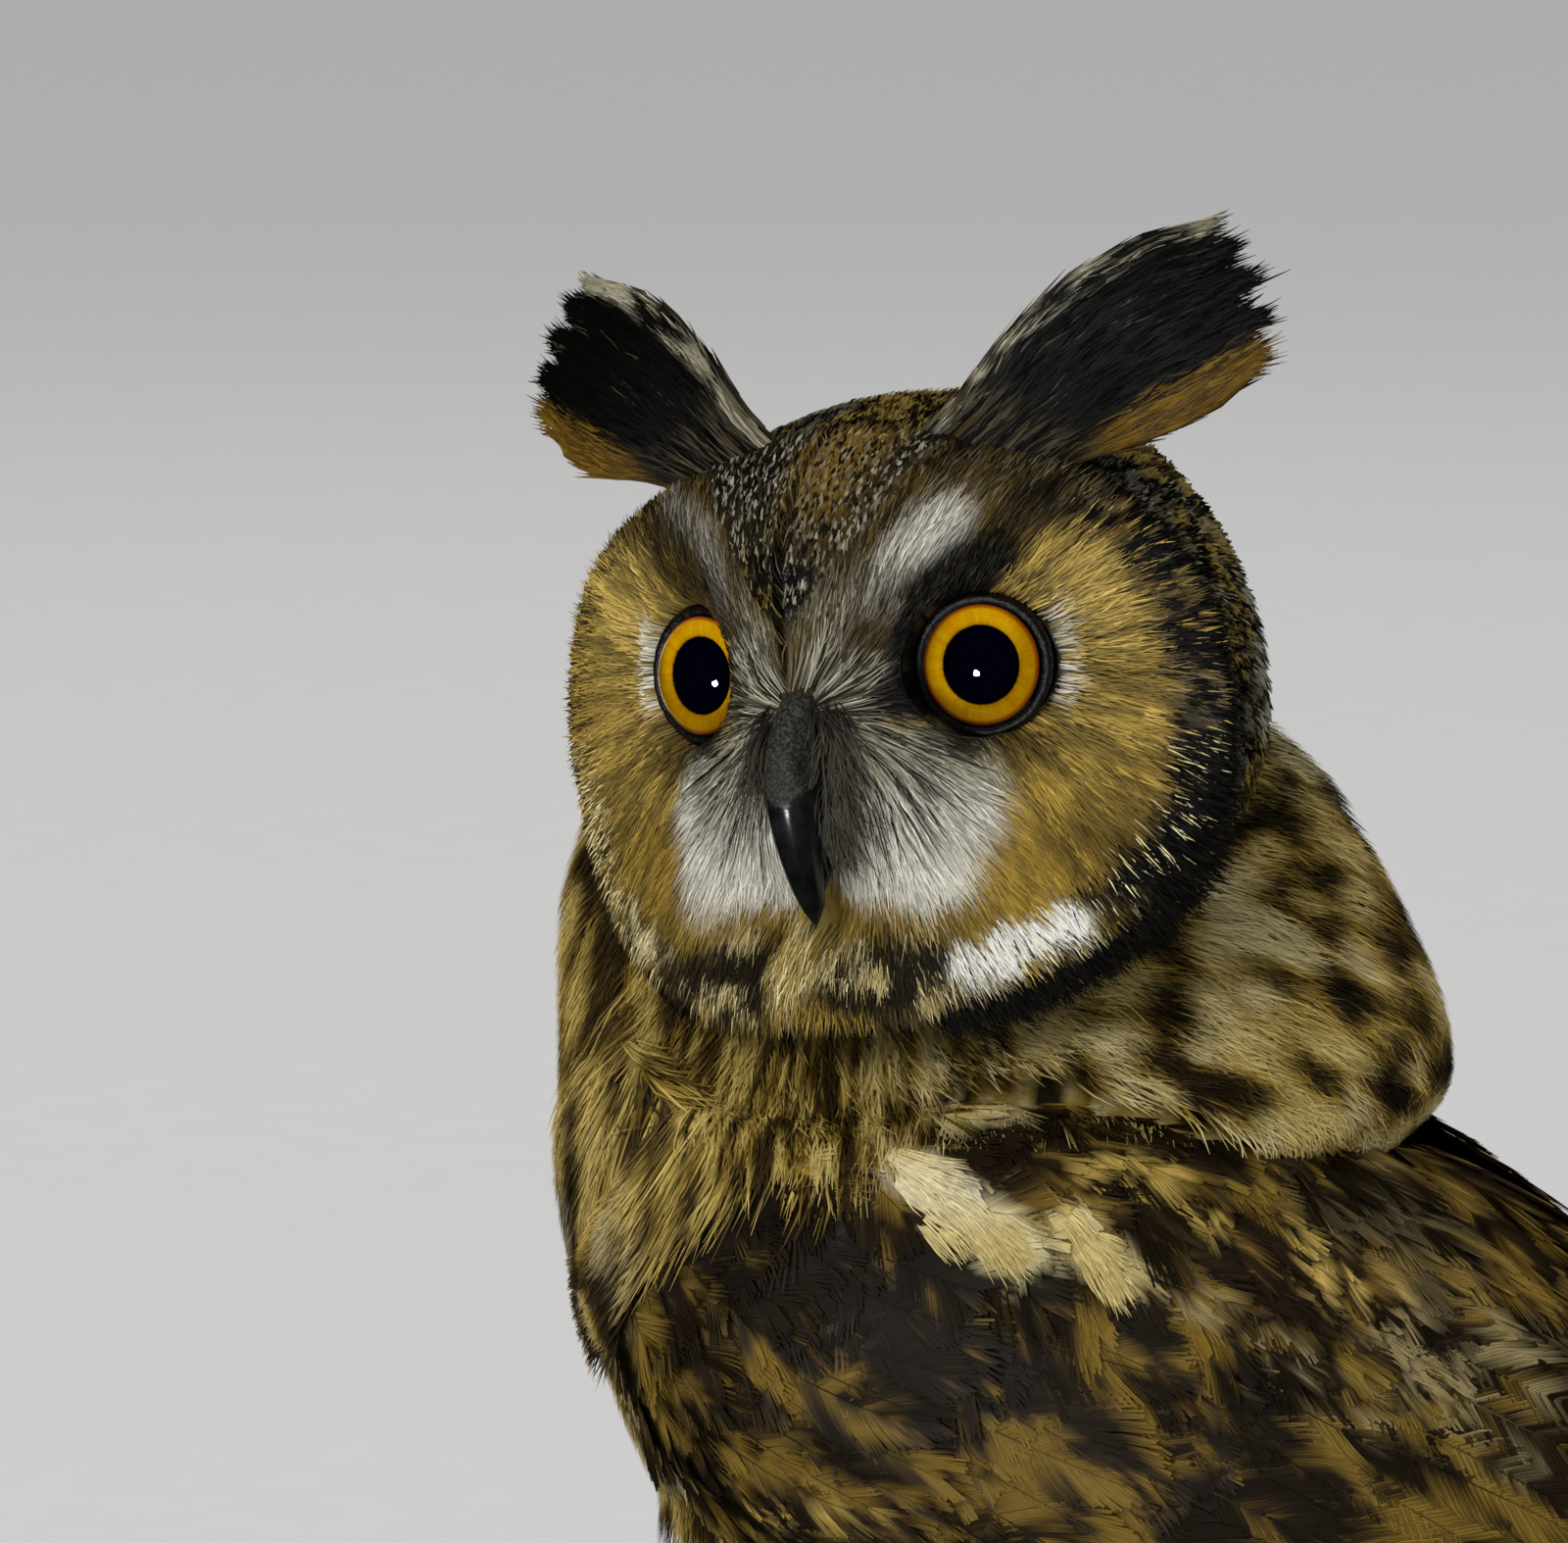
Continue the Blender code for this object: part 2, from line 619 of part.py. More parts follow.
def neck_solid(name, grow=0.0):
    height = np.array((-100, -88, -75, -64, -56, -49, -41, -30, -17, -4), float)[:, None]
    return ring_solid(name, neck_surface(height, circle(24)[None, :], grow))


def neck_part():
    neck = neck_solid("neck")
    return combine(neck, [torso_solid("torso_cut", GAP), head_solid("head_cut", GAP)], "DIFFERENCE")


# Wing.


def wing_arm(name, side):
    """The folded arm under its smallest coverts: a shell that lies along the flank."""
    share = np.array((0.0, 0.05, 0.2, 0.38, 0.56, 0.74, 0.9, 1.0))[:, None]
    along = WING_ROOT + (WING_ARM_END - WING_ROOT) * share
    swell = np.sqrt(np.clip(1 - (2 * share - 1) ** 10, 0.02, 1))
    up = np.linspace(0, 1, 7)[None, :]
    middle = np.interp(share, (0, 0.2, 0.8, 1), (0.45, 0.5, 0.5, 0.6))
    up = middle + (up - 0.5) * swell
    thick = smooth_through(WING_AT, WING_THICK, along)
    edge = 1 - np.abs(2 * up - 1) ** 4
    outer = wing_place(along, up, GAP + thick * (0.35 + 0.65 * edge) * swell, side)
    depth = np.interp(along, (0, 130, 160), (-2.5, -2.5, GAP))
    return slab_solid(name, outer, wing_place(along, up, depth, side))


def wing_feather(side, root, tip, half, out, tilt=0.0, stations=5):
    """A vane laid on the wing from root to tip, each a pair of distance along the body and share up.

    Out is its distance from what the wing lies on, at the root and at the tip.
    """
    share = np.linspace(0, 1, stations)
    along = root[0] + (tip[0] - root[0]) * share
    up = root[1] + (tip[1] - root[1]) * share**1.2
    height = out[0] + (out[1] - out[0]) * share
    spine = wing_place(along, up, height, side)
    above = wing_place(along, up, height + 1.0, side)
    form = np.interp(share, (0, 0.25, 0.6, 0.85, 1), (0.6, 0.95, 1.0, 0.82, 0.3))
    return vane("feather", spine, above - spine, half * form, VANE_THICK, tilt * side)


def flight_feathers(side):
    """Primaries in a closed stack to the wing's tip, and over them the secondaries and tertials."""
    made = []
    for i in range(5):
        tip = (298 - 9.0 * i - 1.6 * i * i, 0.30 + 0.10 * i)
        out = 0.55 + 0.7 * i
        made.append(wing_feather(side, (106, 0.14 + 0.08 * i), tip, 6.0, (out, out), stations=6))
    for i in range(6):
        share = i / 5
        root = (104 - 12 * share, 0.30 + 0.5 * share)
        tip = (228 - 50 * share, 0.56 + 0.34 * share)
        out = 4.1 + 0.68 * i
        made.append(wing_feather(side, root, tip, 6.8, (min(out, 4.6), out)))
    return made


def covert_row(side, count, first, last, length, half, out):
    """A row of coverts from the wing's lower edge to its upper, each tilted over the next."""
    made = []
    for i in range(count):
        share = i / (count - 1)
        root = [a + (b - a) * share for a, b in zip(first, last)]
        tip = (root[0] + length, root[1] + 0.03)
        made.append(wing_feather(side, root, tip, half, out, 1.0, stations=4))
    return made


def wing_part(name, side):
    arm = combine(wing_arm(name, side), flight_feathers(side), "UNION")
    coverts = covert_row(side, 6, (92, 0.13), (76, 0.68), 50, 7.4, (4.2, 8.6))
    coverts += covert_row(side, 6, (58, 0.10), (48, 0.64), 44, 7.2, (4.6, 8.6))
    arm = combine(arm, coverts, "UNION")
    scapulars = []
    for i in range(5):
        share = i / 4
        root = (42 + 50 * share, 0.89 + 0.04 * share)
        tip = (84 + 82 * share, 0.70 + 0.14 * share)
        scapulars.append(wing_feather(side, root, tip, 9.3, (4.6, 10.4 - 1.0 * share), -0.4, stations=4))
    arm = combine(arm, scapulars, "UNION")
    cutters = [torso_solid("torso_cut", GAP), neck_solid("neck_cut", GAP), leg_solid("leg_cut", side, GAP)]
    return combine(arm, cutters, "DIFFERENCE")


# Tail.


def tail_part():
    share = np.linspace(0, 1, 8)[:, None]
    around = circle(16)[None, :]
    along = TAIL_ROOT + 52 * share
    wide = 17.0 - 5.0 * share**2
    tall = 8.0 - 5.5 * share
    core = ring_solid("tail", body_place(along, wide * np.cos(around), -3.0 + tall * np.sin(around)), "brown")
    feathers = []
    pairs = TAIL_FEATHERS // 2
    for side in (-1, 1):
        for i in range(pairs):
            step = np.linspace(0, 1, 6)
            reach = TAIL_LENGTH - 1.6 * i * i * 0.5
            spread = math.radians(0.9 + 2.1 * i)
            along = TAIL_ROOT + 24 + (reach - 24) * step
            lateral = side * (2.0 + 1.2 * i + (reach - 24) * step * math.sin(spread))
            depth = -1.2 - 1.44 * i - (0.72 if side < 0 else 0.0) - 2.5 * step**2
            spine = body_place(along, lateral, depth)
            half = 9.0 * np.interp(step, (0, 0.15, 0.7, 0.9, 1), (0.5, 0.8, 1.0, 0.85, 0.35))
            normal = np.broadcast_to(BODY_DORSAL, spine.shape)
            feathers.append(vane("tail_feather", spine, normal, half, VANE_THICK))
    tail = combine(core, feathers, "UNION")
    return combine(tail, [torso_solid("torso_cut", GAP)], "DIFFERENCE")


# Legs and feet.


def tube_rings(spine, radii, sides, up=(0.0, 0.0, 1.0), flat=1.0):
    """Round sections square to a spine of points."""
    along = np.gradient(spine, axis=0)
    along /= np.linalg.norm(along, axis=1)[:, None]
    across = np.cross(np.broadcast_to(up, along.shape), along)
    across /= np.linalg.norm(across, axis=1)[:, None]
    square = np.cross(along, across)
    around = circle(sides)[None, :, None]
    radii = np.asarray(radii, float)[:, None, None]
    return spine[:, None, :] + radii * (np.cos(around) * across[:, None, :] + flat * np.sin(around) * square[:, None, :])


def block(name, low, high):
    """A box from its low corner to its high one."""
    x, y = np.meshgrid((low[0], high[0]), (low[1], high[1]), indexing="ij")
    return slab_solid(name, stack(x, y, np.full((2, 2), high[2])), stack(x, y, np.full((2, 2), low[2])))


def leg_solid(name, side, grow=0.0):
    """Feathered thigh and shank in one, down past the ankle, with the heel set back."""
    step = np.linspace(0, 1, 9)
    height = 106.0 - (106.0 - ANKLE + 4.0) * step
    y = FOOT_Y - 4.0 * (1 - step) ** 2 + 11.0 * np.sin(math.pi * step**0.8) ** 1.5
    x = side * (LEG_SIDE + 1.5 * np.minimum(step * 1.5, 1))
    radii = np.interp(step, (0, 0.3, 0.55, 0.75, 1), (21, 19, 14.0, 9.8, 7.5))
    return ring_solid(name, tube_rings(stack(x, y, height), radii + grow, 16, (0, 1, 0)), "leg")


def leg_part(name, side):
    leg = leg_solid(name, side)
    floor = block("cut", (side * LEG_SIDE - 21, FOOT_Y - 20, -9), (side * LEG_SIDE + 21, FOOT_Y + 26, ANKLE + GAP))
    return combine(leg, [torso_solid("torso_cut", GAP), floor], "DIFFERENCE")


TOES = (
    ("inner", 24.0, 25.0),
    ("middle", -10.0, 30.0),
    ("outer", -72.0, 24.0),
    ("hind", 172.0, 19.0),
)


def toe_spine(side, bearing, reach):
    """A toe's line over the floor: from the foot's middle, arched at its joint."""
    angle = math.radians(bearing)
    step = np.linspace(0, 1, 6)
    out = np.array((-side * math.sin(angle), -math.cos(angle), 0.0))
    start = np.array((side * (LEG_SIDE + 1.5), FOOT_Y, 0.0))
    rise = TOE_RADIUS - 0.7 + 2.2 * (1 - step) ** 2 + 0.8 * np.sin(step * math.pi * 1.5)
    return start + np.outer(reach * step, out) + np.outer(rise, (0, 0, 1.0)), out


def foot_parts(word, side):
    """The foot's pad and feathered toes, flat below, and a claw on each toe."""
    pad = []
    for height, radius in ((-0.8, 5.6), (3.0, 7.2), (7.0, 7.9), (ANKLE, 7.8), (ANKLE + 4, 7.5)):
        angle = circle(12)
        pad.append(stack(side * (LEG_SIDE + 1.5) + radius * np.cos(angle), FOOT_Y + radius * np.sin(angle), height))
    foot = ring_solid(f"foot_{word}", np.array(pad), "leg")
    toes = []
    for toe, bearing, reach in TOES:
        spine, out = toe_spine(side, bearing, reach)
        radii = TOE_RADIUS * np.array((1.15, 1.2, 1.05, 1.1, 0.95, 0.7))
        toes.append(ring_solid("toe", tube_rings(spine, radii, 9), "leg"))
        claw(f"claw_{toe}_{word}", spine[-1], spine[-1] - spine[-2], out)
    foot = combine(foot, toes, "UNION")
    side_x = side * LEG_SIDE
    floor = block("cut", (side_x - 50, FOOT_Y - 50, -9), (side_x + 50, FOOT_Y + 50, 0))
    ankle = block("cut", (side_x - 15, FOOT_Y - 15, ANKLE), (side_x + 15, FOOT_Y + 15, ANKLE + 9))
    return combine(foot, [floor, ankle], "DIFFERENCE")


def claw(name, root, toward, out):
    """A talon that starts square to its toe, arches over and ends in a point just above the floor."""
    run = direction(toward)
    angle = np.linspace(0.35, 1.5, 6)
    bend = CLAW_LENGTH / 1.25
    forward = bend * (np.sin(angle) - math.sin(0.35))
    drop = bend * (np.cos(angle) - math.cos(0.35)) * 0.42 + 1.8 * (np.sin(angle * 2 - 0.5) - math.sin(0.2))
    start = root + (GAP + 0.9) * run
    arch = start + np.outer(forward, out) + np.outer(drop, (0.0, 0.0, 1.0))
    spine = np.concatenate([[root + GAP * run], arch])
    spine[:, 2] = np.maximum(spine[:, 2], 0.75)
    radii = np.array((2.1, 2.1, 1.95, 1.65, 1.25, 0.85, 0.3))
    return ring_solid(name, tube_rings(spine, radii, 8), "bill")


def centre_on_floor():
    """Moves every piece so that the origin is on the floor below the middle of the bird's box."""
    bpy.context.view_layer.update()
    corners = np.concatenate([np.array([v.co for v in o.data.vertices]) for o in bpy.data.objects])
    middle = (corners.min(0) + corners.max(0)) / 2
    for obj in bpy.data.objects:
        points = np.array([v.co for v in obj.data.vertices]) - (middle[0], middle[1], 0.0)
        obj.data.vertices.foreach_set("co", points.ravel())
        obj.data.update()


def main():
    for obj in list(bpy.data.objects):
        bpy.data.objects.remove(obj)
    head_parts()
    neck_part()
    torso_solid("torso")
    wing_part("wing_left", 1)
    wing_part("wing_right", -1)
    tail_part()
    for word, side in (("left", 1), ("right", -1)):
        leg_part(f"leg_{word}", side)
        foot_parts(word, side)
    centre_on_floor()


main()
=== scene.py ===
# Long-eared owl, life size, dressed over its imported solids: skin, plumage, eyes, bill and claws.
# Lengths are millimetres in the frame the solids were drawn in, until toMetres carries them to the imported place.

import math
from types import SimpleNamespace

import bpy
import numpy as np
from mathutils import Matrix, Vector


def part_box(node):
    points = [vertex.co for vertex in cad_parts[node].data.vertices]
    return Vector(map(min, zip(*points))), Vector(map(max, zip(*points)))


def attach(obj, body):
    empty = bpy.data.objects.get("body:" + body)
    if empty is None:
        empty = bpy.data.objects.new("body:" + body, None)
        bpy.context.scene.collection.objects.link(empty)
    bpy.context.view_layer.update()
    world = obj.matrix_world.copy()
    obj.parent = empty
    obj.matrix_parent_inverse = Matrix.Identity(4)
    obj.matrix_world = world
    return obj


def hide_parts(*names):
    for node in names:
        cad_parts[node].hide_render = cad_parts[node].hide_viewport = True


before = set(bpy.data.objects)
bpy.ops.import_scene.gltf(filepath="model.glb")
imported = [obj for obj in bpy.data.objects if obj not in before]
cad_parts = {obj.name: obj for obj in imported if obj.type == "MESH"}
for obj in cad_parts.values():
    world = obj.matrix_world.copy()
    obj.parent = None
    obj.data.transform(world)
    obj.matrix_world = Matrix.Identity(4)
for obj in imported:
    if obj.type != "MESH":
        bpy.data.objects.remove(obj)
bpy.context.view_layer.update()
print("frame loaded")

stance = {
    "headMiddle": (0.0, -0.4, 223.1),
    "headTurn": 72.0,
    "headPitch": 4.0,
    "headRoll": 5.6,
    "bodyPitch": 35.0,
    "chest": (0.0, -47.8, 186.1),
    "neckTop": 222.0,
}


# Small helpers.


def unit(v):
    return v / (np.linalg.norm(v, axis=-1, keepdims=True) + 1e-12)


def ease(x, low, high):  # 0 below low, 1 above high, and 3t2 - 2t3 between them
    t = np.clip((x - low) / (high - low), 0, 1)
    return t * t * (3 - 2 * t)


def point(*parts):
    return np.stack(np.broadcast_arrays(*parts), axis=-1).astype(float)


def smoothThrough(at, values, where):  # a cubic through the stations, sloped by their neighbours
    at, values = np.asarray(at, float), np.asarray(values, float)
    slopes = np.gradient(values, at)
    where = np.clip(where, at[0], at[-1])
    i = np.clip(np.searchsorted(at, where, side="right") - 1, 0, len(at) - 2)
    step = at[i + 1] - at[i]
    t = (where - at[i]) / step
    rise = (values[i + 1] - values[i]) * t * t * (3 - 2 * t)
    return values[i] + rise + step * t * (1 - t) * ((1 - t) * slopes[i] - t * slopes[i + 1])


def ink(red, green, blue):  # a screen colour of 0 to 255 as scene-linear light
    c = np.array((red, green, blue), float) / 255
    return np.where(c < 0.04045, c / 12.92, ((c + 0.055) / 1.055) ** 2.4)


def blend(a, b, share):
    return a + (b - a) * np.clip(np.asarray(share, float), 0, 1)[..., None]


def cloud(place, size, seed=0):
    # soft noise from 0 to 1: eight hashed corners of a lattice, blended by 3t2 - 2t3
    p = np.asarray(place, float) / size + 19.7 * seed + 500.0
    cell = np.floor(p).astype(np.int64)
    f = p - cell
    f = f * f * (3 - 2 * f)
    total = np.zeros(p.shape[:-1])
    for i, j, k in np.ndindex(2, 2, 2):
        h = (cell[..., 0] + i) * 73856093 ^ (cell[..., 1] + j) * 19349663 ^ (cell[..., 2] + k) * 83492791
        h = ((h ^ (h >> 13)) * 1274126177) & 0xFFFFFF
        w = np.abs(1 - i - f[..., 0]) * np.abs(1 - j - f[..., 1]) * np.abs(1 - k - f[..., 2])
        total += w * ((h ^ (h >> 9)) & 0xFFFF) / 65535
    return total


# Frames of the head and the body.

turn, pitch, roll = (math.radians(stance[word]) for word in ("headTurn", "headPitch", "headRoll"))
headForward = np.array((math.sin(turn) * math.cos(pitch), -math.cos(turn) * math.cos(pitch), math.sin(pitch)))
levelLeft = np.array((math.cos(turn), math.sin(turn), 0.0))
levelUp = np.cross(headForward, levelLeft)
headLeft = levelLeft * math.cos(roll) + levelUp * math.sin(roll)
headUp = levelUp * math.cos(roll) - levelLeft * math.sin(roll)
headMiddle = np.array(stance["headMiddle"])
lean = math.radians(stance["bodyPitch"])
bodyAlong = np.array((0.0, math.cos(lean), -math.sin(lean)))
bodyDorsal = np.array((0.0, math.sin(lean), math.cos(lean)))
sideways = np.array((1.0, 0.0, 0.0))
chest = np.array(stance["chest"])


def headPlace(forward, left, up):
    return headMiddle + point(forward, left, up) @ np.array((headForward, headLeft, headUp))


def headLocal(place):
    return (place - headMiddle) @ np.array((headForward, headLeft, headUp)).T


def bodyPlace(along, side, dorsal):
    return chest + point(along, side, dorsal) @ np.array((bodyAlong, sideways, bodyDorsal))


def bodyLocal(place):
    return (place - chest) @ np.array((bodyAlong, sideways, bodyDorsal)).T


def spineOfBody(place):  # the nearest point of the body's long axis
    return chest + bodyLocal(place)[..., :1] * bodyAlong


# Surfaces of two parameters, the same ones the solids have.

face = {"halfWidth": 45.0, "above": 34.0, "below": 35.5, "middleUp": -5.0, "front": 41.0, "sideDrop": 26.0}
eyes = {"side": 20.1, "up": 0.8, "forward": 27.3, "splay": 12.0, "ball": 9.4, "iris": 7.4, "lid": 8.55}


def faceForward(left, up):
    # a ridge down the middle that falls away to both sides, hollowed behind the bill's hook
    low = np.clip((face["middleUp"] - up) / face["below"], 0, 1)
    power = 0.85 + 0.75 * low * low * (3 - 2 * low)
    side = np.clip(np.abs(left) / face["halfWidth"], 0, 1.05)
    forehead = np.clip(up - 12.0, 0, None)
    chin = np.exp(-(((up + 28.0) / 8.0) ** 2) - (left / 9.0) ** 2)
    return face["front"] - face["sideDrop"] * side**power - 0.045 * forehead**2 - 9.0 * chin


def faceOutline(around):  # the disc's rim, a slightly squared oval
    c, s = np.cos(around), np.sin(around)
    left = face["halfWidth"] * np.sign(c) * np.abs(c) ** 0.9
    return left, np.where(s > 0, face["above"], face["below"]) * np.sign(s) * np.abs(s) ** 0.95


def rimShare(left, up):  # 0 at the disc's middle and 1 at its rim
    x = np.abs(left) / face["halfWidth"]
    y = np.abs(up - face["middleUp"]) / np.where(up > face["middleUp"], face["above"], face["below"])
    return (x ** (2 / 0.9) + y ** (2 / 0.95)) ** 0.475


def headSurface(across, around):  # the face for across 0 to 1, the skull to the nape for 1 to 2
    left, up = faceOutline(around)
    share = np.clip(across, 0, 1)
    back = np.clip(across - 1, 0, 1) * math.pi / 2
    rim = faceForward(left * share, up * share + face["middleUp"])
    forward = rim + (-38.0 - rim) * np.sin(back)
    size = share * np.cos(back)
    crown = 11.0 * np.sin(2 * back) * np.clip(np.sin(around), 0, 1)
    return headPlace(forward, left * size, up * size + face["middleUp"] + crown)


def facePlace(left, up):
    return headPlace(faceForward(left, up), left, up)


def skullPlace(p, q):  # spokes from the nape: length of (p, q) is the angle from it, a quarter turn at the rim
    angle = np.hypot(p, q)
    return headSurface(np.clip(2 - angle / (math.pi / 2), 0.6, 2), np.arctan2(q, p))


torsoAt = (0.0, 8.0, 20.0, 35.0, 50.0, 70.0, 85.0, 120.0, 150.0, 180.0, 200.0)
torsoWide = (9.0, 22.0, 36.0, 43.0, 47.0, 49.5, 50.0, 46.0, 37.0, 23.0, 9.0)
torsoBack = (3.0, 3.5, 5.0, 12.0, 23.0, 35.5, 41.0, 45.0, 40.0, 25.0, 8.0)
torsoBelly = (6.0, 16.0, 29.0, 41.0, 50.0, 54.5, 55.0, 48.0, 35.0, 20.0, 7.0)


def torsoPlace(along, around):  # half ovals, the back's over the belly's; around is 0 at the left side
    wide, back, belly = (smoothThrough(torsoAt, row, along) for row in (torsoWide, torsoBack, torsoBelly))
    return bodyPlace(along, wide * np.cos(around), np.where(np.sin(around) > 0, back, belly) * np.sin(around))


neckAt = (-100.0, -78.0, -62.0, -52.0, -44.0, -30.0, -16.0, -4.0)
neckLeft = (36.0, 49.0, 51.5, 46.0, 36.0, 20.0, 2.0, -12.0)
neckRight = (-36.0, -48.0, -51.0, -51.0, -50.0, -47.0, -43.0, -36.0)
neckFront = (-36.0, -45.5, -48.5, -50.0, -51.5, -52.5, -48.0, -36.0)
neckBack = (14.0, 34.0, 52.0, 63.0, 62.5, 55.5, 46.0, 34.0)


def neckPlace(height, around):  # level ovals; around is 0 at +X and a quarter turn at the back
    left, right, front, back = (smoothThrough(neckAt, row, height) for row in (neckLeft, neckRight, neckFront, neckBack))
    x = (left + right) / 2 + (left - right) / 2 * np.cos(around)
    y = (front + back) / 2 + (back - front) / 2 * np.sin(around)
    return point(x, y, stance["neckTop"] + height)


wingAt = (26.0, 50.0, 80.0, 120.0, 150.0, 185.0)
wingThick = (7.0, 8.5, 7.0, 5.0, 3.4, 2.0)
wingLow = (-50.0, -46.0, -40.0, -31.0, -18.0, 6.0)
wingHigh = (20.0, 48.0, 62.0, 66.0, 70.0, 74.0)
rearAt = (150.0, 180.0, 210.0, 240.0, 270.0, 300.0)
rearWide = (37.0, 27.5, 21.0, 16.5, 13.5, 11.0)
rearBack = (40.0, 29.5, 21.0, 15.5, 12.0, 9.5)


def wingEdges(along):  # angles round the body of the wing's lower and upper edges
    low = np.interp(along, (*wingAt, 240.0, 300.0), (*wingLow, 34.0, 56.0))
    return low, np.interp(along, (*wingAt, 240.0, 300.0), (*wingHigh, 78.0, 80.0))


def wingChart(along, up):  # the angle round the body for a share from the lower edge to the upper
    low, high = wingEdges(along)
    return np.radians(low + up * (high - low))


def wingShare(along, around):  # the share again for an angle round the body, the same on both sides
    low, high = wingEdges(along)
    around = np.where(np.cos(around) < 0, math.pi - around, around)
    around = (around + math.pi) % (2 * math.pi) - math.pi
    return (np.degrees(around) - low) / (high - low)


def wingPlace(along, up, out, side):  # over the torso, and behind it over a narrowing bed
    wide, back, belly = (smoothThrough(torsoAt, row, along) for row in (torsoWide, torsoBack, torsoBelly))
    wide = np.where(along > 150, smoothThrough(rearAt, rearWide, along), wide)
    back = np.where(along > 150, smoothThrough(rearAt, rearBack, along), back)
    belly = np.where(along > 150, back, belly)
    around = wingChart(along, up)
    tall = np.where(np.sin(around) > 0, back, belly)
    return bodyPlace(along, side * (wide + out) * np.cos(around), (tall + out) * np.sin(around))


def armThick(along, up):  # how far the arm's flesh stands out, swelling in the middle and thin at its edges
    share = np.clip((along - 26.0) / 152.0, 0, 1)
    swell = np.sqrt(np.clip(1 - (2 * share - 1) ** 10, 0.02, 1))
    edge = 1 - np.clip(np.abs(2 * up - 1), 0, 1) ** 4
    return smoothThrough(wingAt, wingThick, along) * (0.35 + 0.65 * edge) * swell


leg = {"side": 22.0, "footY": 26.0, "ankle": 12.0, "toe": 3.6, "claw": 14.0}


def legPlace(step, around, side, grow=0.0):  # thigh and shank in one, with the heel set back
    height = 106.0 - (106.0 - leg["ankle"] + 4.0) * step
    y = leg["footY"] - 4.0 * (1 - step) ** 2 + 11.0 * np.sin(math.pi * np.clip(step, 0, 1) ** 0.8) ** 1.5
    x = side * (leg["side"] + 1.5 * np.minimum(step * 1.5, 1))
    radius = np.interp(step, (0, 0.3, 0.55, 0.75, 1), (21, 19, 14.0, 9.8, 7.5)) + grow
    return point(x + side * radius * np.cos(around), y + radius * np.sin(around), height)


toes = (("inner", 24.0, 25.0), ("middle", -10.0, 30.0), ("outer", -72.0, 24.0), ("hind", 172.0, 19.0))


def toeRadius(step):
    return leg["toe"] * np.interp(step, (0, 0.2, 0.4, 0.6, 0.8, 1), (1.15, 1.2, 1.05, 1.1, 0.95, 0.7))


def toeSpine(side, bearing, reach, step):  # from the foot's middle, arched at its joint
    angle = math.radians(bearing)
    out = np.array((-side * math.sin(angle), -math.cos(angle), 0.0))
    start = np.array((side * (leg["side"] + 1.5), leg["footY"], 0.0))
    rise = leg["toe"] - 0.7 + 2.2 * (1 - step) ** 2 + 0.8 * np.sin(step * math.pi * 1.5)
    return start + (reach * step)[..., None] * out + rise[..., None] * np.array((0, 0, 1.0)), out


def eyeAxis(side):
    splay = math.radians(eyes["splay"])
    return unit(headForward * math.cos(splay) + side * headLeft * math.sin(splay))


def eyeMiddle(side):
    front = headPlace(eyes["forward"], side * eyes["side"], eyes["up"])
    return front - eyeAxis(side) * math.sqrt(eyes["ball"] ** 2 - 7.4**2)


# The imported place: the torso is uncut in the solids, so its low corner gives the move.

stations = np.array((0, 7, 18, 33, 52, 74, 98, 120, 141, 162, 182, 200), float)[:, None]
torsoLow = torsoPlace(stations, np.arange(24)[None, :] * math.pi / 12).reshape(-1, 3).min(0)
packedMove = np.array(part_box("torso")[0]) - torsoLow * 0.001
packedMove[2] = 0.0


def toMetres(points):
    return np.asarray(points, float) * 0.001 + packedMove


# What lies inside what, so that nothing grows where it is hidden.


def insideTorso(place, slack=0.0):
    local = bodyLocal(place)
    along = local[..., 0]
    wide, back, belly = (smoothThrough(torsoAt, row, along) + slack for row in (torsoWide, torsoBack, torsoBelly))
    tall = np.where(local[..., 2] > 0, back, belly)
    r = (local[..., 1] / wide) ** 2 + (local[..., 2] / tall) ** 2
    return (r < 1) & (along > -slack) & (along < 200 + slack)


def insideHead(place, slack=0.0):
    local = headLocal(place)
    forward, left, up = local[..., 0], local[..., 1], local[..., 2]
    lift = np.clip((up - face["middleUp"]) / 34.0, 0, 1)
    share = rimShare(left, up - 8.0 * lift * (forward < 10)) * 45.0 / (45.0 + slack)
    rimLeft, rimUp = faceOutline(np.arctan2(up - face["middleUp"], left))
    rim = faceForward(rimLeft, rimUp + face["middleUp"])
    behind = np.clip((rim - forward) / (rim + 38.0 + slack), 0, 2)
    return (forward < faceForward(left, up) + slack) & (behind**2 + share**2 < 1)


def insideNeck(place, slack=0.0):
    height = place[..., 2] - stance["neckTop"]
    left, right, front, back = (smoothThrough(neckAt, row, height) for row in (neckLeft, neckRight, neckFront, neckBack))
    x = (place[..., 0] - (left + right) / 2) / ((left - right) / 2 + slack)
    y = (place[..., 1] - (front + back) / 2) / ((back - front) / 2 + slack)
    return (x * x + y * y < 1) & (height > -100) & (height < -4)


def underWing(place):  # covered by a folded wing's flesh
    local = bodyLocal(place)
    up = wingShare(local[..., 0], np.arctan2(local[..., 2], local[..., 1]))
    return (up > 0.08) & (up < 0.92) & (local[..., 0] > 34) & (local[..., 0] < 170)


def wingFront(y):  # how far back the breast's and neck's feathers lap over the wing, by height on it
    return np.interp(y, (0, 28, 46, 57, 64, 74, 83, 88), (38, 36, 35, 37, 46, 52, 62, 82))


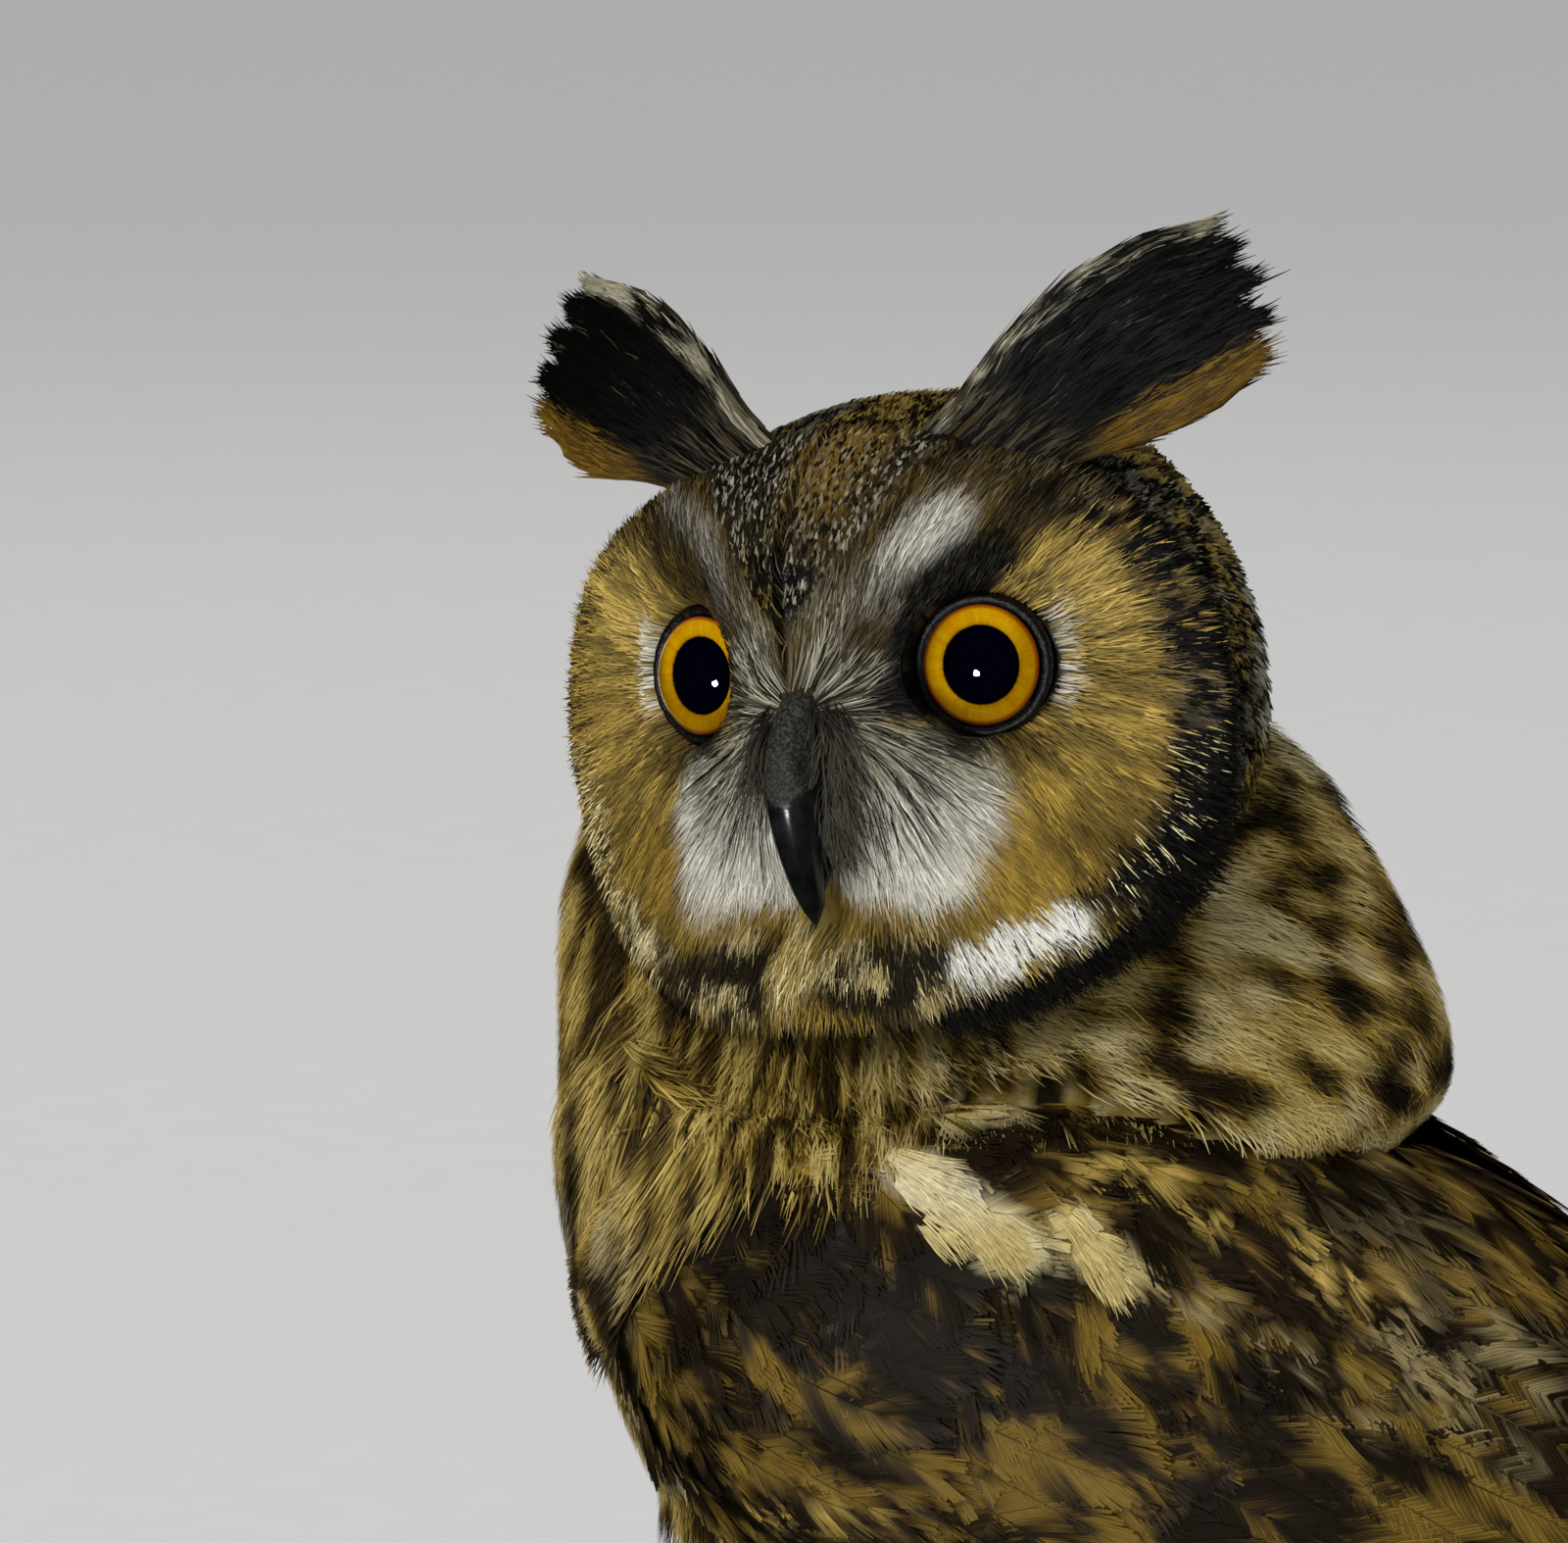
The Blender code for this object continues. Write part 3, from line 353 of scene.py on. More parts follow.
def overWing(place):  # on the shown part of a folded wing, where no neck or breast feather's tip lies
    local = bodyLocal(place)
    up = wingShare(local[..., 0], np.arctan2(local[..., 2], local[..., 1]))
    return (up > -0.1) & (up < 0.9) & (local[..., 0] > np.maximum(wingFront(up * 92.0), 30.0) + 1.0)


# Shader maths: a wire is a node's output that can be added, multiplied and so on.


class Wire:
    def __init__(self, board, socket):
        self.board, self.socket = board, socket

    def math(self, operation, *others):
        values = {i + 1: other for i, other in enumerate(others)}
        return self.board.add("ShaderNodeMath", {"operation": operation}, {0: self, **values})

    def flipped(self, operation, other):
        return self.board.add("ShaderNodeMath", {"operation": operation}, {0: other, 1: self})

    def __add__(self, other):
        return self.math("ADD", other)

    def __sub__(self, other):
        return self.math("SUBTRACT", other)

    def __mul__(self, other):
        return self.math("MULTIPLY", other)

    def __truediv__(self, other):
        return self.math("DIVIDE", other)

    def __rsub__(self, other):
        return self.flipped("SUBTRACT", other)

    __radd__ = __add__
    __rmul__ = __mul__

    def eased(self, low, high):  # 0 below low to 1 above high
        values = {"Value": self, "From Min": low, "From Max": high}
        return self.board.add("ShaderNodeMapRange", {"interpolation_type": "SMOOTHSTEP"}, values)


class Board:
    # a material's nodes; add() makes one from its type, its settings and its sockets' values or links
    def __init__(self, name, roughness, **fixed):
        self.material = bpy.data.materials.new(name)
        self.material.use_nodes = True
        self.tree = self.material.node_tree
        self.shader = self.tree.nodes["Principled BSDF"]
        self.shader.inputs["Roughness"].default_value = roughness
        for socket, value in fixed.items():
            self.shader.inputs[socket.replace("_", " ")].default_value = value

    def add(self, kind, settings, sockets, output=0):
        node = self.tree.nodes.new(kind)
        for name, value in settings.items():
            setattr(node, name, value)
        for name, value in sockets.items():
            self.join(node.inputs[name], value)
        return Wire(self, node.outputs[output])

    def join(self, socket, value):
        if isinstance(value, Wire):
            self.tree.links.new(value.socket, socket)
        else:
            socket.default_value = value

    def attribute(self, name, output="Color"):
        return self.add("ShaderNodeAttribute", {"attribute_name": name}, {}, output)

    def split(self, vector):
        parts = self.add("ShaderNodeSeparateXYZ", {}, {0: vector})
        return [Wire(self, out) for out in parts.socket.node.outputs]

    def noise(self, vector, scale, detail=2.0, roughness=0.5):
        sockets = {"Vector": vector, "Scale": scale, "Detail": detail, "Roughness": roughness}
        return self.add("ShaderNodeTexNoise", {}, sockets)

    def mix(self, share, a, b):
        return self.add("ShaderNodeMix", {"data_type": "RGBA"}, {0: share, 6: a, 7: b}, output=2)

    def shade(self, colour, amount):  # a colour times a grey amount
        grey = self.add("ShaderNodeCombineXYZ", {}, {0: amount, 1: amount, 2: amount})
        return self.add("ShaderNodeVectorMath", {"operation": "MULTIPLY"}, {0: colour, 1: grey})

    def coordinates(self):
        return self.add("ShaderNodeTexCoord", {}, {}, "Object")

    def bump(self, height, strength, distance):
        sockets = {"Height": height, "Strength": strength, "Distance": distance}
        self.join(self.shader.inputs["Normal"], self.add("ShaderNodeBump", {}, sockets))

    def colour(self, wire):
        self.join(self.shader.inputs["Base Color"], wire)
        return self.material


def strandFinish():
    # single filaments and barbs: the tint they carry, a little uneven along their length
    board = Board("plumage_strands", 0.6, Specular_IOR_Level=0.16)
    fine = board.noise(board.coordinates(), 900.0, 1.0)
    return board.colour(board.shade(board.attribute("tint"), fine * 0.36 + 0.82))


def barbFinish():
    # soft feathers again, with two fine barbs drawn on each of a plume's strips by painted shade in the gaps between
    # them
    board = Board("plumage_barbs", 0.6, Specular_IOR_Level=0.14)
    across, _, _ = board.split(board.add("ShaderNodeUVMap", {"uv_map": "web"}, {}))
    fine = board.noise(board.coordinates(), 900.0, 1.0)
    line = ((across + fine * 0.25) * (4 * math.pi)).math("COSINE") * 0.5 + 0.5
    return board.colour(board.shade(board.attribute("tint"), line * 0.62 + fine * 0.3 + 0.54))


def webFinish():
    # a quill feather's web: barbs slant from the shaft to the edge, with painted shade in the grooves between them as
    # well as a bump
    board = Board("plumage_webs", 0.55, Specular_IOR_Level=0.18)
    x, y, _ = board.split(board.add("ShaderNodeUVMap", {"uv_map": "web"}, {}))
    across, along = x.math("ABSOLUTE") * 1000, y * 1000
    waver = board.noise(board.coordinates(), 90.0, 1.0)
    ridge = ((along - across * 1.25 + waver * 1.2) * (2 * math.pi / 0.55)).math("SINE") * 0.5 + 0.5
    grain = board.noise(board.coordinates(), 700.0, 2.0)
    board.bump(ridge, 0.5, 0.00015)
    return board.colour(board.shade(board.attribute("tint"), ridge * 0.28 + grain * 0.5 + 0.6))


def skinFinish():
    board = Board("skin_down", 0.85, Specular_IOR_Level=0.12)
    down = board.noise(board.coordinates(), 900.0, 3.0)
    board.bump(down, 0.6, 0.0006)
    return board.colour(board.shade(board.attribute("tint"), down * 0.7 + 0.5))


# Meshes from arrays.


def meshObject(name, points, quads, finish, tint=None, maps=None):
    # points in millimetres; quads as rows of four, a repeated last corner making a triangle
    mesh = bpy.data.meshes.new(name)
    quads = np.asarray(quads, np.int64)
    isTriangle = quads[:, 2] == quads[:, 3]
    sizes = np.where(isTriangle, 3, 4)
    keep = np.ones(quads.shape, bool)
    keep[isTriangle, 3] = False
    corners = quads[keep]
    mesh.vertices.add(len(points))
    mesh.vertices.foreach_set("co", toMetres(points).astype(np.float32).ravel())
    mesh.loops.add(len(corners))
    mesh.loops.foreach_set("vertex_index", corners.astype(np.int32))
    mesh.polygons.add(len(quads))
    starts = np.concatenate([[0], np.cumsum(sizes)[:-1]])
    mesh.polygons.foreach_set("loop_start", starts.astype(np.int32))
    mesh.update(calc_edges=True)
    if tint is not None:
        layer = mesh.color_attributes.new("tint", "FLOAT_COLOR", "POINT")
        full = np.concatenate([tint.reshape(-1, 3), np.ones((len(points), 1))], axis=1)
        layer.data.foreach_set("color", full.astype(np.float32).ravel())
    for word, values in (maps or {}).items():
        layer = mesh.uv_layers.new(name=word)
        layer.data.foreach_set("uv", values.reshape(-1, 2)[corners].astype(np.float32).ravel())
    mesh.shade_smooth()
    mesh.materials.append(finish)
    made = bpy.data.objects.new(name, mesh)
    bpy.context.scene.collection.objects.link(made)
    return made


def settle(made, slot, *replaced):
    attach(made, "root")
    if replaced:
        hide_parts(*replaced)
    return made


def rings(sections):
    # quads over a stack of rings and a fan to each end's middle, facing outwards; returns points and quads
    count, sides, _ = sections.shape
    index = np.arange(count * sides).reshape(count, sides)
    after = np.roll(index, -1, axis=1)
    first, last = count * sides, count * sides + 1
    body = point(index[:-1], after[:-1], after[1:], index[1:]).reshape(-1, 4)
    quads = np.concatenate([body, point(after[0], index[0], first, first), point(index[-1], after[-1], last, last)])
    quads = quads.astype(int)
    points = np.concatenate([sections.reshape(-1, 3), [sections[0].mean(0)], [sections[-1].mean(0)]])
    if np.linalg.det(points[quads[:, :3]] - points.mean(0)).sum() < 0:
        isFlat = quads[:, 2] == quads[:, 3]
        quads = np.where(isFlat[:, None], quads[:, [1, 0, 2, 3]], quads[:, ::-1])
    return points, quads


class Ground:
    # a surface that feathers grow on: where it is, small steps for its slopes, and a point inside it
    def __init__(self, place, step, inside):
        self.place, self.step, self.inside = place, step, inside

    def slopes(self, p, q):
        h, k = self.step
        here = self.place(p, q)
        alongP = (self.place(p + h, q) - self.place(p - h, q)) / (2 * h)
        alongQ = (self.place(p, q + k) - self.place(p, q - k)) / (2 * k)
        normal = unit(np.cross(alongP, alongQ))
        side = np.sign(((here - self.inside(here)) * normal).sum(-1, keepdims=True))
        return here, alongP, alongQ, normal * side

    def scatter(self, low, high, count, wanted=None):
        # even roots: a low-discrepancy row of candidates, drawn in proportion to area and to what is wanted
        n = np.arange(count * 7) + 1.0
        p = low[0] + (high[0] - low[0]) * ((n * 0.7548776662466927) % 1)
        q = low[1] + (high[1] - low[1]) * ((n * 0.5698402909980532) % 1)
        _, alongP, alongQ, _ = self.slopes(p, q)
        weight = np.linalg.norm(np.cross(alongP, alongQ), axis=-1)
        if wanted is not None:
            weight = weight * wanted(p, q)
        rising = np.cumsum(weight) / weight.sum()
        pick = np.searchsorted(rising, (np.arange(count) + 0.5) / count)
        return p[pick], q[pick]

    def ways(self, p, q, alongP, alongQ):  # a direction made of the surface's own two
        _, a, b, _ = self.slopes(p, q)
        return unit(unit(a) * np.asarray(alongP)[..., None] + unit(b) * np.asarray(alongQ)[..., None])


def comb(ground, p, q, lie, far, aside, rise):
    # a line of points from each root: far along the lie's shadow on the ground, aside of it, and rise above it
    _, alongP, alongQ, normal = ground.slopes(p, q)
    lie = unit(lie - (lie * normal).sum(-1, keepdims=True) * normal)
    across = np.cross(normal, lie)
    a, b, c = ((u * v).sum(-1) for u, v in ((alongP, alongP), (alongP, alongQ), (alongQ, alongQ)))
    det = a * c - b * b + 1e-9
    moved = []
    for vector in (lie, across):
        x, y = (vector * alongP).sum(-1), (vector * alongQ).sum(-1)
        moved.append(((c * x - b * y) / det, (a * y - b * x) / det))
    (lp, lq), (cp, cq) = moved
    pp = p[:, None] + lp[:, None] * far + cp[:, None] * aside
    qq = q[:, None] + lq[:, None] * far + cq[:, None] * aside
    here, _, _, normal = ground.slopes(pp, qq)
    return here + rise[..., None] * normal, normal, pp, qq


def strips(spine, normal, half, roll):
    # a flat ribbon of two columns along each spine, turned about it by roll
    run = unit(np.gradient(spine, axis=1))
    across = unit(np.cross(normal, run))
    over = np.cos(roll)[:, None, None] * across + np.sin(roll)[:, None, None] * normal
    return spine[:, :, None, :] + half[:, :, None, None] * over[:, :, None, :] * np.array((-1.0, 1.0))[:, None]


def ribbons(ground, roots, lie, far, aside, height, half, colour, roll, u, s, luck, grain, part=None):
    # the ribbons of any tuft, coloured where they lie; u runs across a feather and s along it
    spine, normal, pp, qq = comb(ground, *roots, lie, far, aside, height)
    if part:
        spine = part(spine)
    at = SimpleNamespace(place=spine, p=pp, q=qq, u=u, s=s, luck=luck[:, None] + 0 * s, grain=grain[:, None] + 0 * s)
    tint = np.clip(colour(at), 0, 1)
    return {"points": strips(spine, normal, half, roll), "tint": np.repeat(tint[:, :, None], 2, axis=2), "home": roots}


def filaments(ground, p, q, lie, length, half, colour, rng, rise, stations=4, roll=0.3, curl=0.06, part=None):
    # single tapered hairs, bowed a little to one side
    n = len(p)
    t = np.linspace(0, 1, stations)[None, :] + np.zeros((n, 1))
    far = length[:, None] * t
    aside = rng.normal(0, curl, n)[:, None] * length[:, None] * t**2
    height = rise[0] + (rise[1] - rise[0]) * np.sin(t * 1.9) + rng.uniform(-0.3, 0.3, n)[:, None] * t
    wide = half[:, None] * np.interp(t, (0, 0.3, 0.7, 1), (0.8, 1.0, 0.7, 0.1))
    luck, grain = rng.random(n), rng.random(n)
    return ribbons(ground, (p, q), lie, far, aside, height, wide, colour, rng.normal(0, roll, n), 0 * t, t, luck, grain, part)


def bundles(ground, p, q, lie, length, width, count, colour, rng, rise, start=0.3, thin=0.45, stations=4, roll=0.35, curl=0.07):
    # soft feathers, each a fan of filaments: side ones shorter, all drawn to a rounded tip
    n = len(p)
    every = np.repeat(np.arange(n), count)
    u = (np.linspace(-1, 1, count)[None, :] + rng.normal(0, 0.1, (n, count))).ravel()
    reach = length[every] * (0.66 + 0.34 * np.cos(u * 1.35)) * rng.uniform(0.84, 1.12, len(u))
    s = start + (1 - start) * np.linspace(0, 1, stations)[None, :] + np.zeros((len(u), 1))
    fan = 0.3 + 0.7 * np.sin(np.clip(s * 1.25, 0, 1) * math.pi / 2)
    bent = (rng.normal(0, curl, n)[every] + rng.normal(0, curl, len(u)))[:, None] * reach[:, None] * s**2
    aside = u[:, None] * width[every, None] * fan + bent
    height = rise[0] + (rise[1] - rise[0]) * s + rng.uniform(-0.35, 0.35, len(u))[:, None] * s - 0.3 * u[:, None] ** 2
    half = thin * np.interp(s, (start, start + 0.2, 0.8, 1), (0.8, 1.0, 0.75, 0.12)) * rng.uniform(0.7, 1.25, len(u))[:, None]
    luck, grain = rng.random(n)[every], rng.random(len(u))
    roots = (p[every], q[every])
    rolls = rng.normal(0, roll, len(u))
    return ribbons(ground, roots, lie[every], reach[:, None] * s, aside, height, half, colour, rolls, u[:, None] + 0 * s, s, luck, grain)


def plumes(ground, p, q, lie, length, width, barbs, colour, rng, rise, camber=0.4, tilt=0.0, slats=0.1, shaft=0.14):
    # contour feathers: barbs leave the shaft at a slant and sweep forward, so their tips round off the feather
    n = len(p)
    each = 2 * barbs
    every = np.repeat(np.arange(n), each)
    start = np.tile(np.linspace(0.1, 1, barbs), 2 * n) + rng.normal(0, 0.006, n * each)
    side = np.tile(np.repeat((-1.0, 1.0), barbs), n)
    form = np.interp(start, (0, 0.15, 0.45, 0.8, 1), (0.45, 0.72, 1.0, 0.9, 0.5))
    wide = width[every] * form * rng.uniform(0.9, 1.08, len(every))
    toTip = ease(start, 0.55, 1.0)
    d = np.array((0.0, 0.5, 1.0))[None, :]
    far = (length[every] * 0.8 * start)[:, None] + wide[:, None] * d**1.15 * (1.3 + 0.35 * toTip)[:, None]
    bow = rng.normal(0, 0.07, n)[every][:, None]
    aside = side[:, None] * (wide * (1 - 0.62 * toTip))[:, None] * d**0.9 + bow * far**2 / length[every][:, None]
    s = far / length[every][:, None]
    lean = (tilt + rng.normal(0, 0.04, n))[every][:, None]
    height = rise[0] + (rise[1] - rise[0]) * s - camber * (aside / width[every][:, None]) ** 2 + lean * aside
    height = height + rng.normal(0, 0.03, len(every))[:, None] * d
    half = (length * 0.42 / barbs)[every][:, None] * np.array((0.9, 1.0, 0.5))[None, :]
    luck, grain = rng.random(n)[every], rng.random(len(every))
    u = side[:, None] * d * form[:, None]
    rolls = side * slats + rng.normal(0, 0.05, len(every))
    web = ribbons(ground, (p[every], q[every]), lie[every], far, aside, height, half, colour, rolls, u, s, luck, grain)
    web["web"] = point(np.array((0.0, 1.0)), (0 * s)[:, :, None])
    t = np.linspace(0, 0.95, 6)[None, :] + np.zeros((n, 1))
    far = length[:, None] * t
    height = rise[0] + (rise[1] - rise[0]) * t + 0.12
    aside = bow[::each] * far**2 / length[:, None]
    dark = lambda at: colour(at) * 0.45
    luck = luck[::each]
    quill = ribbons(ground, (p, q), lie, far, aside, height, shaft * (1.1 - t), dark, np.zeros(n), 0 * t, t, luck, luck)
    return [web, quill]


def vanes(ground, root, tip, half, rise, colour, rng, stations=8, columns=5, camber=0.8, tilt=0.0, blunt=0.35):
    # quill feathers: a cambered sheet along each spine, rounded at the tip, with a frayed edge
    n = len(root)
    t = np.linspace(0, 1, stations)[None, :]
    share = np.linspace(-1, 1, columns)
    form = np.interp(t, (0, 0.12, 0.35, 0.7, 0.88, 1), (0.35, 0.7, 0.95, 1.0, 0.8, blunt))
    pp = root[:, 0, None] + (tip - root)[:, 0, None] * t
    qq = root[:, 1, None] + (tip - root)[:, 1, None] * t
    here, _, _, normal = ground.slopes(pp, qq)
    low, high = (np.broadcast_to(edge, (n,)) for edge in rise)
    spine = here + (low[:, None] + (high - low)[:, None] * t)[..., None] * normal
    run = unit(np.gradient(spine, axis=1))
    steps = np.linalg.norm(np.diff(spine, axis=1), axis=-1)
    size = np.concatenate([np.zeros((n, 1)), np.cumsum(steps, axis=1)], axis=1)
    across = unit(np.cross(normal, run))
    fray = 1 + rng.normal(0, 0.05, (n, stations, columns)) * (np.abs(share) > 0.9)
    wide = half[:, None, None] * form[..., None] * share * fray
    lift = tilt * share - camber * share**2 + 0 * wide
    back = -(share**2) * half[:, None, None] * 0.35 * np.interp(t, (0, 0.7, 1), (0, 0.2, 1))[..., None]
    points = spine[:, :, None] + wide[..., None] * across[:, :, None]
    points = points + lift[..., None] * normal[:, :, None] + back[..., None] * run[:, :, None]
    luck = rng.random(n)[:, None, None] + 0 * wide
    at = SimpleNamespace(place=points, p=pp[..., None] + 0 * wide, q=qq[..., None] + 0 * wide, u=share + 0 * wide)
    at.s, at.luck, at.grain = t[..., None] + 0 * wide, luck, luck
    offset = rng.uniform(0, 30, n)[:, None, None]
    web = point(wide * 0.001, (size[..., None] + offset) * 0.001 + 0 * wide)
    return {"points": points, "tint": np.clip(colour(at), 0, 1), "home": (root[:, 0], root[:, 1]), "web": web}


def coatPiece(name, sets, low, high, finish, slot, *replaced):
    # joins sets of sheets into one mesh; in OFBake each tuft is a small patch at its root's place on the unwrap
    points, tints, bake, web, quads, used = [], [], [], [], [], 0
    hasWeb = any("web" in one for one in sets)
    for one in sets:
        n, rows, columns, _ = one["points"].shape
        x, y = (np.clip((np.asarray(v) - a) / (b - a), 0.01, 0.99) for v, a, b in zip(one["home"], low, high))
        x = x[:, None, None] + (np.linspace(-0.5, 0.5, columns) * 0.003)[None, None, :]
        y = y[:, None, None] + (np.linspace(-0.5, 0.5, rows) * 0.003)[None, :, None]
        bake.append(point(x, y).reshape(-1, 2))
        points.append(one["points"].reshape(-1, 3))
        tints.append(one["tint"].reshape(-1, 3))
        web.append(one["web"].reshape(-1, 2) if "web" in one else np.zeros((len(points[-1]), 2)))
        index = used + np.arange(n * rows * columns).reshape(n, rows, columns)
        corner = (index[:, :-1, :-1], index[:, 1:, :-1], index[:, 1:, 1:], index[:, :-1, 1:])
        quads.append(np.stack(corner, axis=-1).reshape(-1, 4))
        used += index.size
    maps = {"OFBake": np.concatenate(bake)}
    if hasWeb:
        maps["web"] = np.concatenate(web)
    quads = np.concatenate(quads)
    made = meshObject(name, np.concatenate(points), quads, finish, np.concatenate(tints), maps)
    settle(made, slot, *replaced)
    print(f"{name}: {2 * len(quads)} triangles")
    return made


# Plumage colours, and where each one lies.

plumage = {
    "ochre": ink(166, 138, 56),
    "ochreDeep": ink(120, 93, 28),
    "ochreBright": ink(202, 176, 96),
    "white": ink(232, 228, 212),
    "greyWhite": ink(180, 175, 152),
    "frost": ink(150, 139, 106),
    "grey": ink(112, 107, 88),
    "cream": ink(228, 214, 160),
    "umber": ink(80, 62, 25),
    "brown": ink(52, 40, 17),
    "dark": ink(29, 22, 9),
    "black": ink(11, 10, 6),
}


def spot(x, y, middle, radii, soft=0.35):  # 1 inside an oval and 0 outside, soft at its edge
    r = np.hypot((x - middle[0]) / radii[0], (y - middle[1]) / radii[1])
    return 1 - ease(r, 1 - soft, 1 + soft)


def stroke(x, y, start, end, half, soft=0.5):  # 1 on a thick line between two points
    run = np.subtract(end, start).astype(float)
    t = np.clip(((x - start[0]) * run[0] + (y - start[1]) * run[1]) / (run @ run), 0, 1)
    r = np.hypot(x - start[0] - t * run[0], y - start[1] - t * run[1]) / half
    return 1 - ease(r, 1 - soft, 1 + soft)


def faceColour(at):
    place, luck, grain = at.place, at.luck, at.grain
    left = at.p + 2.0 * (cloud(place, 3.2, 8) - 0.5) + 1.0 * (grain - 0.5)
    up = at.q + 2.0 * (cloud(place, 3.2, 9) - 0.5) + 1.2 * (luck - 0.5)
    hue = plumage
    side = np.abs(left)
    rough = cloud(place, 2.0, 1)
    patch = cloud(place, 6.0, 2)
    near = (left > 0) * 1.0
    # the disc: ochre, brightest high on its outer half, browner under the eye
    colour = blend(hue["ochreDeep"], hue["ochre"], 0.3 + 0.5 * luck + 0.5 * (patch - 0.5))
    bright = spot(side, up, (34, 13), (9, 9), 0.8) + 0.6 * spot(side, up, (33, -3), (10, 12), 0.8)
    colour = blend(colour, hue["ochreBright"], bright * (0.25 + 0.75 * luck) * 0.7)
    colour = blend(colour, hue["umber"], 0.75 * spot(side, up, (21.5, -10), (7.5, 3.2), 0.7))
    spoke = point(26 * np.arctan2(up - 1.5, side - 15.5), np.hypot(side - 15.5, up - 1.5) / 7, 9 * near)
    streak = ease(cloud(spoke, 1.0, 13), 0.25, 0.75) - 0.5
    colour = colour * (1 + 0.75 * streak * ease(side, 14, 22))[..., None]
    rim = rimShare(left, up)
    pale = ease(rim, 0.88, 0.95) * ease(-up, 6, 14) * ease(side, 20, 27)
    colour = blend(colour, hue["cream"], pale * (grain > 0.7 + 0.14 * near) * 0.9)
    colour = blend(colour, hue["brown"], ease(rim, 0.93, 0.985) * (grain < 0.35) * 0.9)
    band = near * ease(rim + 0.05 * (grain - 0.5), 0.9, 0.93) * ease(up, -40, -26)
    flecks = blend(hue["black"], blend(hue["grey"], hue["ochreDeep"], patch), ease(cloud(place, 1.2, 7), 0.5, 0.62) * ease(up, -12, -4) * 0.8)
    colour = blend(colour, flecks, band * (grain < 0.93))
    # the forehead each side of the crown: grey-brown lines, nearly black at the top rim
    forehead = ease(up + 0.15 * side, 17, 25) * (1 - ease(side - 0.5 * (up - 20), 27 - 5 * (1 - near), 36))
    forehead = np.maximum(forehead, ease(up, 5, 11) * (1 - ease(side, 12, 19)))
    drab = blend(hue["dark"], blend(hue["umber"], hue["grey"], ease(luck, 0.6, 0.9)), ease(grain, 0.25, 0.7))
    colour = blend(colour, drab, forehead * 0.92)
    colour = blend(colour, hue["black"], 0.85 * ease(up, 24, 29) * (side > 8) * (luck > 0.2))
    # grey lores, and the white fans of the moustache, darker by the bill
    lores = spot(side, up, (6.5, 1), (7.0, 9), 0.5)
    colour = blend(colour, blend(hue["greyWhite"], hue["brown"], ease(luck, 0.2, 0.75)), lores)
    fan = np.maximum(stroke(side, up, (7, -12), (17, -15.5), 6.4, 0.3), stroke(side, up, (7, -21.5), (14.5, -22.5), 6.4, 0.3))
    white = blend(hue["greyWhite"], hue["white"], ease(-up + 4 * rough, 13, 21))
    white = blend(white, hue["grey"], (0.25 + 0.5 * (1 - ease(-up, 14, 24))) * ease(luck, 0.45, 0.8))
    colour = blend(colour, white, fan)
    # eyebrow: a white stripe above the inner eye, bent outwards on the right, and a dark line outside it
    stripe = stroke(side, up, (8.5, 4), (15.8, 16.4), 2.2 + 0.11 * np.clip(up, 0, 20), 0.4) * near
    bent = np.maximum(stroke(side, up, (9.5, 6), (17, 17), 2.2, 0.5), stroke(side, up, (17, 17), (28, 21.5), 1.8, 0.6))
    pale = blend(hue["umber"], hue["white"], ease(up + 3 * rough, 5, 17) * (0.35 + 0.5 * near))
    pale = blend(pale, hue["brown"], 0.85 * ease(luck, 0.45, 0.75) * (1 - 0.5 * ease(up, 11, 17) * near))
    colour = blend(colour, pale, np.maximum(stripe, bent * (1 - near)))
    brow = np.maximum(stroke(side, up, (11.8, -3), (14.6, 9.5), 2.7, 0.35), stroke(side, up, (14.8, 9.3), (22.0, 14.6), 3.1, 0.4))
    brow = np.maximum(brow, 0.75 * stroke(side, up, (21, 15.5), (26.5, 20.5), 2.6, 0.8))
    far = 0.85 * stroke(side, up, (18, 12.5), (47, 28.5), 3.4, 0.6) * (1 - near) * (luck > 0.12)
    colour = blend(colour, blend(hue["black"], hue["umber"], 0.7 * ease(luck, 0.8, 0.95)), np.maximum(brow * (0.5 + 0.5 * near), far))
    # crown's point between the eyebrows: black with white or ochre flecks
    vee = ease(up - 4.0 - side / np.where(left > 0, 0.5, 1.0) + 2.5 * (rough - 0.5), -1.5, 2.5)
    fleck = blend(hue["greyWhite"], hue["ochre"], ease(cloud(place, 7.0, 5) - 0.02 * (up - 14), 0.35, 0.65))
    salt = blend(blend(hue["black"], hue["brown"], 0.7 * patch), fleck, ease(luck, 0.68, 0.74) * (0.3 + 0.4 * grain))
    colour = blend(colour, salt, vee)
    colour = blend(colour, hue["ochreDeep"], 0.7 * spot(left, up, (2.0, 27), (5, 9), 0.6) * (grain > 0.35))
    colour = blend(colour, hue["umber"], 0.75 * spot(side, up, (0, 0.5), (2.6, 6), 0.5) * (grain > 0.3))
    # round the eye: black lid feathers, white ones outside
    ring = np.hypot(side - eyes["side"], up - eyes["up"])
    colour = blend(colour, hue["white"], 0.9 * spot(side, up, (29.3, 1.8), (2.0, 6.0), 0.4) * (luck > 0.2))
    colour = blend(colour, hue["black"], 0.95 * (1 - ease(ring + 0.5 * rough, 9.0, 10.0)))
    colour = blend(colour, hue["black"], 0.8 * spot(side, up, (18.5, -8.6), (4.5, 1.4), 0.5))
